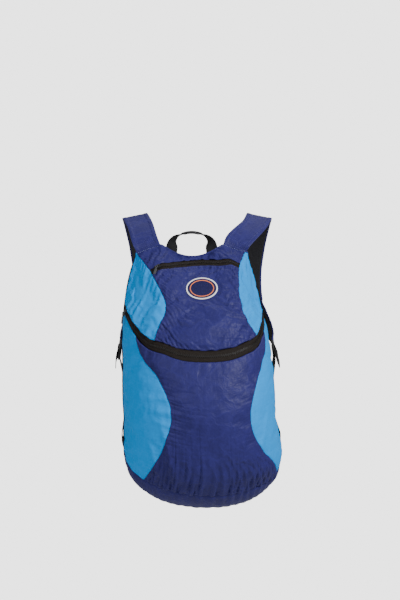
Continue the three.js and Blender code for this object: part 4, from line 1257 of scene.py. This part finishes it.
def dress_slider(name, table, turn, size, pull):
    """Slider with its two plates, bridge and arch, and a pull on a ring."""
    length, width = size
    plates = [
        block((length, width, 1.0), (0, 0, 0.3), 0.35),
        block((length * 0.94, width * 0.96, 1.0), (0, 0, 2.9), 0.35),
        block((length * 0.3, width * 0.4, 2.6), (length * 0.3, 0, 1.6), 0.3),
    ]
    press_top(plates[1], 1.1, 0.35)
    for side in (-1, 1):
        plates.append(block((length * 0.8, 0.8, 1.1), (0, side * width * 0.46, 2.3), 0.25))
    arch = ring(2.3, 0.55, (0, 0, 3.5), (90, 0, 0), (24, 8))
    slider = join(f"{name}_slider", [*plates, arch])
    origin, along, across, out = (value[0] for value in zip_frame(table, [turn], 0.4))
    put(slider, placing(origin, along, across, out))
    smooth_shading(slider, 40.0)
    settle_in(slider, "zip_metal", (f"{name}_slider",))
    hang = np.array([0.0, 0.0, -1.0])
    hang = unit(hang - out * np.dot(hang, out))
    side = np.cross(hang, out)
    grip_length, grip_width = pull
    eye = ring(1.9, 0.5, (0, -1.6, 0.2), (0, 0, 0), (24, 8))
    neck = block((1.8, 4.2, 1.1), (0, -4.9, 0.1), 0.35)
    grip = block((grip_width, grip_length, 1.5), (0, -6.6 - grip_length / 2, 0), 0.5, 3)
    press_top(grip, 0.8, -0.35)
    rib = (grip_width * 0.6, 0.7, 0.5)
    ribs = [block(rib, (0, -8.4 - 1.7 * i, 0.55), 0.15) for i in range(int(grip_length / 2.4))]
    piece = join(f"{name}_pull", [eye, neck, grip, *ribs])
    put(piece, placing(origin + out * 4.9, -side, -hang, out))
    smooth_shading(piece, 40.0)
    settle_in(piece, "grey_cord", (f"{name}_pull",))


# Shares of a strap's half width, where its hem starts, its seeds, its stitched shares and root rows
STRAP_SHARES = (0.2, 0.4, 0.6, 0.69, 0.73, 0.82, 0.93, 0.985, 1)
HEM = {"start": 0.69, "ease": 0.04, "height": 0.45, "round": 0.07}
STRAP_SEED = {-1: 72, 1: 71}
STITCHED_SHARES = (4, 14, 1, 17)
ROOT_ROWS = {"at": (2.5, 5.0, 11.0, 13.5), "reach": 0.97, "points": 40}
LINING_SHARES = (-1, -0.97, -0.85, -0.5, 0, 0.5, 0.85, 0.97, 1)


def dress_strap(side, sign):
    """Unpadded strap with turned hems, its mesh underside and their stitching."""
    count = 250
    place, tangent, facing, across, width = strap_stations(sign, count)
    shares = np.array([*(-share for share in STRAP_SHARES[::-1]), 0, *STRAP_SHARES])
    travelled = distances(place)
    s = travelled[:, None]
    hem = np.clip((np.abs(shares) - HEM["start"]) / HEM["ease"], 0, 1)[None, :]
    edge = rounded(shares, HEM["round"])
    seed = STRAP_SEED[sign]
    waves = [(7.1, 0.24), (9.7, 0.2), (13.3, 0.16)]
    middle = len(STRAP_SHARES)
    rows = [rng_wave(travelled + 3 * k, waves, seed + (k > middle)) for k in range(len(shares))]
    gather = np.stack(rows, axis=1)
    slack = rng_wave(s + 9 * shares[None, :], [(38, 0.3), (61, 0.35), (23, 0.12)], seed + 5)
    thick = STRAP_THICKNESS / 2
    sway = slack * (1 - shares[None, :] ** 2) * 0.7
    raised = thick - 0.15 + HEM["height"] * hem + gather * (0.35 + 0.65 * hem)
    outer = raised * (0.25 + 0.75 * edge) + sway
    inner = -thick * (0.25 + 0.75 * edge) + sway - 0.2 * hem
    name = f"shoulder_strap_{side}"
    strap = band(name, place, facing, across, width / 2, outer, inner, shares)
    settle_in(strap, "navy_nylon", (name,))
    for k in STITCHED_SHARES:
        line = place + across * (width / 2 * shares[k])[:, None] + facing * outer[:, k:k + 1]
        note_stitches(line[2:], facing[2:], "navy_thread", 0.05)
    for start in ROOT_ROWS["at"]:
        i = int(np.searchsorted(travelled, start))
        reach = np.linspace(-ROOT_ROWS["reach"], ROOT_ROWS["reach"], ROOT_ROWS["points"])[:, None]
        height = np.interp(reach[:, 0], shares, outer[i])[:, None]
        line = place[i] + across[i] * (width[i] / 2) * reach + facing[i] * height
        note_stitches(line, np.repeat(facing[i:i + 1], len(line), axis=0), "navy_thread", 0.05)
    name = f"strap_lining_{side}"
    sink = thick + STRAP_HEM / 2 + LINING_GAP + LINING_THICKNESS / 2
    mesh_shares = np.array(LINING_SHARES)
    puff = rounded(mesh_shares, 0.12)
    half = LINING_THICKNESS / 2
    wide = np.broadcast_to(slack * 0.5, (count + 1, len(shares)))
    follow = np.stack([np.interp(mesh_shares, shares, row) for row in wide])
    follow = follow * (1 - mesh_shares[None, :] ** 2)
    lining = band(
        name, place - facing * sink, facing, across, width / 2 - LINING_INSET,
        half * (0.3 + 0.7 * puff) + follow + 0 * s, -half * (0.3 + 0.9 * puff) + follow + 0 * s, mesh_shares)
    settle_in(lining, "black_mesh", (name,))


def dress_lock(side, sign):
    """Moulded buckle with three bars, cut and extruded from a plate."""
    top, down, out, across = lock_frame(sign)
    clear_selection()
    bpy.ops.mesh.primitive_plane_add(size=MM)
    obj = bpy.context.object
    obj.name = f"ladder_lock_{side}"
    obj.scale = (LOCK["width"], LOCK["length"], 1)
    apply_place()
    slot_half = WEB_WIDTH / 2 + LOCK["clearance"]
    slot_high = (LOCK["length"] - 3 * LOCK["bar"]) / 2
    bpy.ops.object.mode_set(mode="EDIT")
    middle_y = (LOCK["bar"] + slot_high) / 2
    cuts = [((x, 0, 0), (1, 0, 0)) for x in (-slot_half, slot_half)]
    for middle in (-middle_y, middle_y):
        for edge in (-1, 1):
            cuts.append(((0, middle + edge * slot_high / 2, 0), (0, 1, 0)))
    for place, normal in cuts:
        bpy.ops.mesh.select_all(action="SELECT")
        bpy.ops.mesh.bisect(plane_co=[p * MM for p in place], plane_no=normal)
    select_faces(obj, lambda c, n: abs(c.x) < slot_half and abs(abs(c.y) - middle_y) < slot_high / 2)
    bpy.ops.mesh.delete(type="FACE")
    bpy.ops.mesh.select_all(action="SELECT")
    bpy.ops.mesh.extrude_region_move(TRANSFORM_OT_translate={"value": (0, 0, LOCK["thickness"] * MM)})
    bpy.ops.mesh.select_all(action="SELECT")
    bpy.ops.mesh.normals_make_consistent(inside=False)
    bpy.ops.object.mode_set(mode="OBJECT")
    bevel = obj.modifiers.new("Edges", "BEVEL")
    bevel.width = 0.9 * MM
    bevel.segments = 3
    bevel.limit_method = "ANGLE"
    apply_modifiers(obj)
    ridges = [block((slot_half * 1.7, 0.8, 0.7), (0, y, LOCK["thickness"]), 0.25) for y in (-0.9, 0.9)]
    ridges += [block((LOCK["width"] * 0.8, 1.0, 0.8), (0, -LOCK["length"] / 2 + 2.0, LOCK["thickness"]), 0.3)]
    obj = join(obj.name, [obj, *ridges])
    centre = top + down * LOCK["length"] / 2 - out * LOCK["thickness"] / 2
    put(obj, placing(centre, across, -down, out))
    smooth_shading(obj, 40.0)
    settle_in(obj, "black_plastic", (f"ladder_lock_{side}",))


def webbing_stations(sign):
    """Stations from the lower corner, up behind the buckle, over its middle bar and down as a tail."""
    top, down, out, _ = lock_frame(sign)
    up = -down
    away = LOCK["thickness"] / 2 + SEAT_GAP + WEB_THICKNESS / 2
    slot_high = (LOCK["length"] - 3 * LOCK["bar"]) / 2
    slot_middle = LOCK["bar"] + slot_high / 2
    lift = SEAT_GAP + WEB_THICKNESS / 2
    corner = body_point(sign * CORNER["turn"], CORNER["rise"], lift + SEAT_GAP)
    edge_lift = lift + BACK_MARGIN + CORNER["standoff"]
    edge = body_point(sign * 90.0, CORNER["rise"] + CORNER["edge_rise"], edge_lift)
    facing = body_normal(sign * CORNER["turn"], CORNER["rise"])
    edge[1] = BACK_THICKNESS
    far = top + down * (LOCK["length"] + WEB_WIDTH / 2) - out * away
    hug = np.array([-CORNER["hug"] * sign, 0.0, 0.0])
    turned = np.array([0.0, -CORNER["turned"], 0.0])
    low, high = edge + (far - edge) * 0.35 + hug, edge + (far - edge) * 0.7 + hug
    low_facing = facing + (out - facing) * 0.4 + turned
    rows = [(corner, facing), (edge, facing), (low, low_facing), (high, out + turned), (far, out)]
    place, _, face, across, _ = stations([(*row, WEB_WIDTH) for row in rows], 70)
    place, face, across = list(place), list(face), list(across)

    def push(point, facing, tangent):
        square = unit(facing - tangent * np.dot(facing, tangent))
        place.append(point)
        face.append(square)
        across.append(unit(np.cross(tangent, square)))

    push(top + down * (slot_middle + away) - out * away, out, up)
    for angle in np.linspace(0, math.pi, 17):
        c, s = math.cos(angle), math.sin(angle)
        point = top + down * (slot_middle + LOCK["bar"] / 2 - s * away * BAR_WRAP) - out * away * c
        push(point, out * c - up * s, up * c + out * s)
    for share in np.linspace(0.0, 1.0, 12):
        bulge = away * (1 + TAIL_BULGE * math.sin(math.pi * share))
        push(top + down * (LOCK["length"] + TAIL_LENGTH * share) + out * bulge, -out, down)
    return np.array(place), np.array(face), np.array(across), np.full(len(place), WEB_WIDTH)


def flat_band(name, place, facing, across, width):
    """Webbing with rounded edges along stations."""
    shares = np.array([-1, -0.96, -0.85, -0.4, 0, 0.4, 0.85, 0.96, 1])
    half = WEB_THICKNESS / 2 * (0.25 + 0.75 * rounded(shares, 0.15)) + 0 * place[:, :1]
    obj = band(name, place, facing, across, width / 2, half, -half, shares)
    settle_in(obj, "black_webbing", (name,))


def dress_loop():
    """Haul loop behind the neckline: foot, rise, crown and the same again mirrored."""
    centre = LEAN * SECTIONS["lean"][-1]
    half = HALF_WIDTH * SECTIONS["width"][-1]
    foot_top = float(top_edge(LOOP["half"] / half))
    behind = BACK_THICKNESS + SEAT_GAP + WEB_THICKNESS / 2

    def row(sign, share, back, up, facing):
        point = np.array([centre + sign * LOOP["half"] * share, behind + back, foot_top + up])
        return point, (sign * facing[0], *facing[1:]), WEB_WIDTH

    sides = []
    for sign in (-1, 1):
        sides.append([
            row(sign, 1, 0, -LOOP["foot"], (0, 1, 0)),
            row(sign, 1, 0.8, 2, (0, 1, 0)),
            row(sign, 0.86, 5, LOOP["rise"] * 0.6, (0.5, 0.6, 0.55)),
            row(sign, 0.4, 12, LOOP["rise"] * 0.93, (0.25, -LOOP["lean"], 1)),
        ])
    crown = row(0, 0, 13, LOOP["rise"], (0, -LOOP["lean"], 1))
    place, _, facing, across, width = stations([*sides[0], crown, *sides[1][::-1]], 90)
    flat_band("haul_loop", place, facing, across, width)


def badge_plane():
    """Middle, sideways, upward and outward directions of the stiff patch."""
    middle = body_point(BADGE["turn"], BADGE["rise"])
    out = body_normal(BADGE["turn"], BADGE["rise"])
    out = unit(out + np.array([0.0, 0.0, -BADGE["upright"]]))
    across = unit(np.cross(np.array([0.0, 0.0, 1.0]), out))
    return middle - out * BADGE["sunk"], across, np.cross(out, across), out


def badge_places(radius, angle, height):
    """Points on the patch at shares of its radius and angles round it."""
    middle, across, up, out = badge_plane()
    sideways = BADGE["length"] / 2 * radius * np.cos(angle)
    upward = BADGE["height"] / 2 * radius * np.sin(angle)
    return middle + sideways[..., None] * across + upward[..., None] * up + height * out


def flatten_under_badge(points, turn, rise):
    """Cloth laid flat against the back of the patch."""
    middle, _, _, out = badge_plane()
    above = np.sum((points - middle) * out, axis=-1)
    return points - out * (above * badge_cover(turn, rise))[..., None]


# Radius, width, pitch, height and lift of a ring of threads on the patch, radius as a share
OVERCAST = {
    "rim": (0.955, 2.6, 1.15, 0.62, 1.0),
    "ring": (0.74, 1.5, 0.9, 0.4, 1.35),
}
BADGE_TOP = 1.5
BADGE_BULGE = 0.05
BADGE_LOW = 0.4


def dress_badge():
    """Oval patch: twill field, overcast rim and a stitched ring, with no sign on it."""
    radii = np.linspace(0.0, 0.985, 14)[1:]
    angles = np.linspace(0, 2 * np.pi, 73)[:-1]
    ring_count = len(angles)
    top = badge_places(radii[:, None], angles[None, :], BADGE_TOP)
    centre = badge_places(np.zeros(1), np.zeros(1), BADGE_TOP + BADGE_BULGE)
    low = badge_places(radii[-1:, None], angles[None, :], BADGE_LOW)
    points = np.concatenate([centre, top.reshape(-1, 3), low.reshape(-1, 3)])
    faces = [(0, 1 + j, 1 + (j + 1) % ring_count) for j in range(ring_count)]
    for i in range(len(radii)):
        for j in range(ring_count):
            a, b = 1 + i * ring_count + j, 1 + i * ring_count + (j + 1) % ring_count
            faces.append((a, a + ring_count, b + ring_count, b))
    faces.append([1 + len(radii) * ring_count + j for j in range(ring_count)])
    shares = np.concatenate([np.zeros(1), np.repeat(radii, ring_count), np.ones(ring_count)])
    turns = np.concatenate([np.zeros(1), np.tile(angles, len(radii) + 1)])
    half = np.array([BADGE["length"], BADGE["height"]]) / 2
    flat = np.stack([shares * np.cos(turns), shares * np.sin(turns)], axis=1) * half * MM
    field = add_mesh("badge_field", points * MM, faces, flat)
    recalculate(field)
    smooth_shading(field, 50.0)
    settle_in(field, "patch_field", ("badge",))
    for part, sizes in OVERCAST.items():
        add_overcast(part, *sizes)


def add_overcast(part, radius, width, pitch, height, lift):
    """Ring of threads laid side by side round the patch."""
    fine = np.linspace(0, 2 * np.pi, 721)
    line = badge_places(np.full(721, radius), fine, lift)
    travelled, places = walk(line, pitch * 0.72)
    angle = np.interp(places, travelled, fine)
    at = badge_places(np.full(len(angle), radius), angle, lift)
    along = unit(badge_places(np.full(len(angle), radius), angle + 0.01, lift) - at)
    out = np.repeat(badge_plane()[3][None, :], len(angle), axis=0)
    side = np.cross(out, along)
    slanted = unit(side + along * 0.25)
    arc = np.linspace(-1, 1, 6)
    cell = []
    for a in arc:
        bow = math.sqrt(max(0.0, 1 - a * a)) * height
        half = pitch * 0.5
        cell += [(a * width / 2, y, bow + up) for y, up in ((-half, 0), (0, 0.32), (half, 0), (0, -0.6))]
    faces = [(0, 1, 2, 3), (20, 21, 22, 23), *tube_faces(6, 4)]
    obj = repeated(f"badge_{part}", at, (slanted, along, out), cell, faces)
    smooth_shading(obj, 60.0)
    settle_in(obj, f"patch_{part}")


def back_point(sideways, rise):
    """Place on the back panel's plane."""
    width = HALF_WIDTH * section(rise, "width") + BACK_MARGIN
    lean = LEAN * section(rise, "lean")
    bottom = bottom_edge(BACK_DROP, sideways)
    z = bottom + (top_edge(sideways) - bottom) * rise
    x = lean + width * sideways
    return np.stack(np.broadcast_arrays(x, np.zeros_like(x), z), axis=-1)


CHANNEL_WIDTH = 5.0
CHANNEL_HEIGHTS = (-150.0, -260.0, -370.0)
BACK_PUFF = {"front": 0.2, "behind": 1.2, "least": 0.2, "most": 2.6, "channel": 0.75}
BINDING = {"spacing": 2.2, "inset": 0.6, "outward": 1.3, "thick": 2.6, "sides": 12}


def dress_back():
    """Padded mesh panel against the back, with its bound edge."""
    rows, columns = cells(420), cells(250)
    rise = np.linspace(0, 1, rows + 1)[:, None]
    turn = np.linspace(-90, 90, columns + 1)[None, :]
    sideways = np.sin(turn * DEGREE)
    flat = back_point(sideways, rise)
    frame_fade = np.minimum(1, (1 - np.abs(sideways)) * 9) * np.minimum(1, np.minimum(rise, 1 - rise) * 16)
    channel = np.exp(-((flat[..., 0] - LEAN * 0.1) / CHANNEL_WIDTH) ** 2) + sum(
        np.exp(-((flat[..., 2] - z) / CHANNEL_WIDTH) ** 2) for z in CHANNEL_HEIGHTS)
    sewn = 1 - BACK_PUFF["channel"] * np.clip(channel, 0, 1)
    puff = BACK_PUFF["least"] + BACK_PUFF["most"] * np.sqrt(np.clip(frame_fade, 0, 1)) * sewn
    points = np.concatenate([flat, flat])
    points[:rows + 1, :, 1] = BACK_PUFF["behind"] + puff
    points[rows + 1:, :, 1] = BACK_PUFF["front"]
    wide = columns + 1
    half = (rows + 1) * wide
    faces = grid_faces(rows + 1, wide) + [face[::-1] for face in grid_faces(rows + 1, wide, half)]
    rim = [i for i in range(wide)] + [i * wide + columns for i in range(1, rows + 1)]
    rim += [rows * wide + columns - i for i in range(1, wide)] + [(rows - i) * wide for i in range(1, rows)]
    for a, b in zip(rim, rim[1:] + rim[:1]):
        faces.append((b, a, a + half, b + half))
    uv = points[..., [0, 2]] * MM
    obj = add_mesh("back_panel", points.reshape(-1, 3) * MM, faces, uv.reshape(-1, 2))
    recalculate(obj)
    smooth_shading(obj, 60.0)
    settle_in(obj, "black_mesh", ("back_panel",))
    add_binding()


def add_binding():
    """Woven binding round the edge of the back panel."""
    steps = 90
    sides = np.linspace(0, 1, steps)
    angle = np.linspace(-np.pi / 2, np.pi / 2, steps)
    outline = np.concatenate([
        back_point(np.ones(steps), sides), back_point(np.sin(-angle), np.ones(steps))[1:],
        back_point(-np.ones(steps), sides[::-1])[1:], back_point(np.sin(angle), np.zeros(steps))[1:-1],
    ])
    closed = np.concatenate([outline, outline[:1]])
    travelled, places = walk(closed, BINDING["spacing"])
    line = read_off(places, travelled, closed)
    ahead = unit(np.roll(line, -1, axis=0) - np.roll(line, 1, axis=0))
    outward = np.cross(ahead, np.array([0.0, 1.0, 0.0]))
    if np.dot(outward[10], line[10] - line.mean(axis=0)) < 0:
        outward = -outward
    count, sides_round = len(line), BINDING["sides"]
    phase = np.linspace(0, 2 * np.pi, sides_round + 1)[:-1]
    wave = rng_wave(places, [(11, 0.12), (7.3, 0.1)], 91)
    wave = wave[:, None, None]
    points = line[:, None, :] - outward[:, None, :] * BINDING["inset"] + (
        outward[:, None, :] * (BINDING["outward"] + wave * 0.5) * np.cos(phase)[None, :, None]
        + np.array([0, 1.0, 0]) * (BINDING["thick"] + wave) * np.sin(phase)[None, :, None])
    points[..., 1] += BACK_THICKNESS / 2
    faces = []
    for i in range(count):
        for j in range(sides_round):
            n, m = (i + 1) % count, (j + 1) % sides_round
            faces.append((i * sides_round + j, n * sides_round + j, n * sides_round + m, i * sides_round + m))
    uv = np.stack(np.broadcast_arrays(places[:, None], phase[None, :] * 2.0), axis=-1) * MM
    obj = add_mesh("back_binding", points.reshape(-1, 3) * MM, faces, uv.reshape(-1, 2))
    recalculate(obj)
    smooth_shading(obj, 60.0)
    settle_in(obj, "black_webbing")


NECKLINE = {"rise": 0.9985, "lift": 0.25, "thick": 0.75, "half_width": 1.6, "lowered": 0.2}


def dress_neckline():
    """Narrow folded edge along the top of the yoke and the side panels."""
    turn = np.linspace(-90, 90, 140)
    rise = np.full_like(turn, NECKLINE["rise"])
    line = body_point(turn, rise, NECKLINE["lift"])
    along = unit(np.gradient(line, axis=0))
    out = np.repeat(np.array([[0.0, -1.0, 0.0]]), len(turn), axis=0)
    across = np.cross(along, out)
    shares = np.array([-1, -0.8, -0.3, 0.3, 0.8, 1])
    edge = rounded(shares, 0.4)
    half = NECKLINE["thick"] * (0.3 + 0.7 * edge) + 0 * turn[:, None]
    wide = np.full(len(turn), NECKLINE["half_width"])
    place = line - across * NECKLINE["lowered"]
    obj = band("neckline_edge", place, out, across, wide, half, -half, shares)
    settle_in(obj, "navy_nylon")


FLOOR = {"radius": 5.0, "height": -1.62}
SURROUNDINGS = {"light": 0.36, "seen": 3.0}
LAMPS = (
    ("key", (1.5, -1.9, 1.2), 0.6, 96.0),
    ("fill", (-1.8, -2.4, 0.7), 1.5, 34.0),
    ("top", (0.2, 0.6, 1.6), 1.4, 9.0),
)
LAMP_TARGET = (0.0, -0.05, -0.27)
CAMERA = {"lens": 107.14, "sensor": 36.0, "place": (0.005, -3.0, -0.1445)}


def build_stage():
    """Pale floor well below the held bag, white surroundings, soft lights and the camera."""
    scene = bpy.context.scene
    clear_selection()
    bpy.ops.mesh.primitive_circle_add(
        vertices=96, radius=FLOOR["radius"], fill_type="NGON", location=(0, 0, FLOOR["height"]))
    floor = bpy.context.object
    floor.name = "floor"
    apply_place()
    floor.data.materials.append(finish("floor"))
    world = bpy.data.worlds.new("surroundings")
    scene.world = world
    world.use_nodes = True
    tree = world.node_tree
    background = tree.nodes["Background"]
    background.inputs["Color"].default_value = (1.0, 1.0, 1.0, 1.0)
    seen = tree.nodes.new("ShaderNodeLightPath")
    brightness = tree.nodes.new("ShaderNodeMapRange")
    brightness.inputs["To Min"].default_value = SURROUNDINGS["light"]
    brightness.inputs["To Max"].default_value = SURROUNDINGS["seen"]
    tree.links.new(seen.outputs["Is Camera Ray"], brightness.inputs["Value"])
    tree.links.new(brightness.outputs["Result"], background.inputs["Strength"])
    for name, place, size, power in LAMPS:
        light = bpy.data.lights.new(name, "AREA")
        light.shape = "DISK"
        light.size = size
        light.energy = power
        lamp = bpy.data.objects.new(name, light)
        lamp.location = place
        lamp.rotation_euler = (Vector(LAMP_TARGET) - Vector(place)).to_track_quat("-Z", "Y").to_euler()
        scene.collection.objects.link(lamp)
    data = bpy.data.cameras.new("camera")
    data.lens = CAMERA["lens"]
    data.sensor_width = CAMERA["sensor"]
    data.sensor_fit = "AUTO"
    data.dof.use_dof = False
    camera = bpy.data.objects.new("camera", data)
    camera.location = CAMERA["place"]
    camera.rotation_euler = (90 * DEGREE, 0, 0)
    scene.collection.objects.link(camera)
    scene.camera = camera


def dress_zips():
    """Tapes, teeth, sliders and pulls of the two zips."""
    dress_tape("main_zipper_tape", MAIN_LOW, MAIN_HIGH, None, None)
    dress_tape("top_zipper_tape", TOP_LOW, TOP_HIGH, UPPER_LEFT, UPPER_RIGHT)
    middle = zip_line(TOP_ZIP)
    ends = [float(s(meeting(s, middle))) for s in (UPPER_LEFT, UPPER_RIGHT)]
    dress_coil("main_zipper_coil", MAIN_ZIP, -88.5, 88.5)
    dress_coil("top_zipper_coil", TOP_ZIP, ends[0] + 2.5, ends[1] - 2.5)
    dress_slider("main_zipper", MAIN_ZIP, -79.0, (12.0, 8.0), (12.0, 4.5))
    dress_slider("top_zipper", TOP_ZIP, -34.0, (10.0, 7.0), (11.0, 4.0))


def dress_straps():
    """Shoulder straps, buckles, webbing and the haul loop."""
    for side, sign in (("left", -1), ("right", 1)):
        dress_strap(side, sign)
        dress_lock(side, sign)
        flat_band(f"webbing_{side}", *webbing_stations(sign))
    dress_loop()


def dress_body():
    """Gathered nylon panels of the shell and the underside."""
    dress_lower_body()
    dress_upper_body()
    dress_neckline()


def operator(name, label, work):
    """Operator class that runs one step of the layout."""
    def execute(self, context):
        work()
        return {"FINISHED"}

    members = {
        "__doc__": work.__doc__,
        "bl_idname": f"backpack.{name}",
        "bl_label": label,
        "execute": execute,
    }
    return type(f"Bag{name.title()}", (bpy.types.Operator,), members)


OPERATORS = (
    operator("body", "Body panels", dress_body),
    operator("zips", "Zips", dress_zips),
    operator("straps", "Straps", dress_straps),
    operator("back", "Back panel", dress_back),
    operator("badge", "Patch", dress_badge),
    operator("stitching", "Stitching", add_stitching),
    operator("stage", "Stage", build_stage),
)


class BagPanel(bpy.types.Panel):
    """Lists the steps in the sidebar."""

    bl_idname = "BACKPACK_PT_steps"
    bl_label = "Packable backpack"
    bl_space_type = "VIEW_3D"
    bl_region_type = "UI"
    bl_category = "Backpack"

    def draw(self, context):
        for step in OPERATORS:
            self.layout.operator(step.bl_idname)


CLASSES = (BagSizes, BagColours, *OPERATORS, BagPanel)


def register():
    for cls in CLASSES:
        bpy.utils.register_class(cls)
    bpy.types.Scene.bag_sizes = PointerProperty(type=BagSizes)
    bpy.types.Scene.bag_colours = PointerProperty(type=BagColours)


def unregister():
    del bpy.types.Scene.bag_colours
    del bpy.types.Scene.bag_sizes
    for cls in reversed(CLASSES):
        bpy.utils.unregister_class(cls)


def main():
    """Builds every piece in order and writes the boxes of the frame and of the dressed model."""
    register()
    for step in OPERATORS:
        group, name = step.bl_idname.split(".")
        getattr(getattr(bpy.ops, group), name)()


if __name__ == "__main__":
    main()
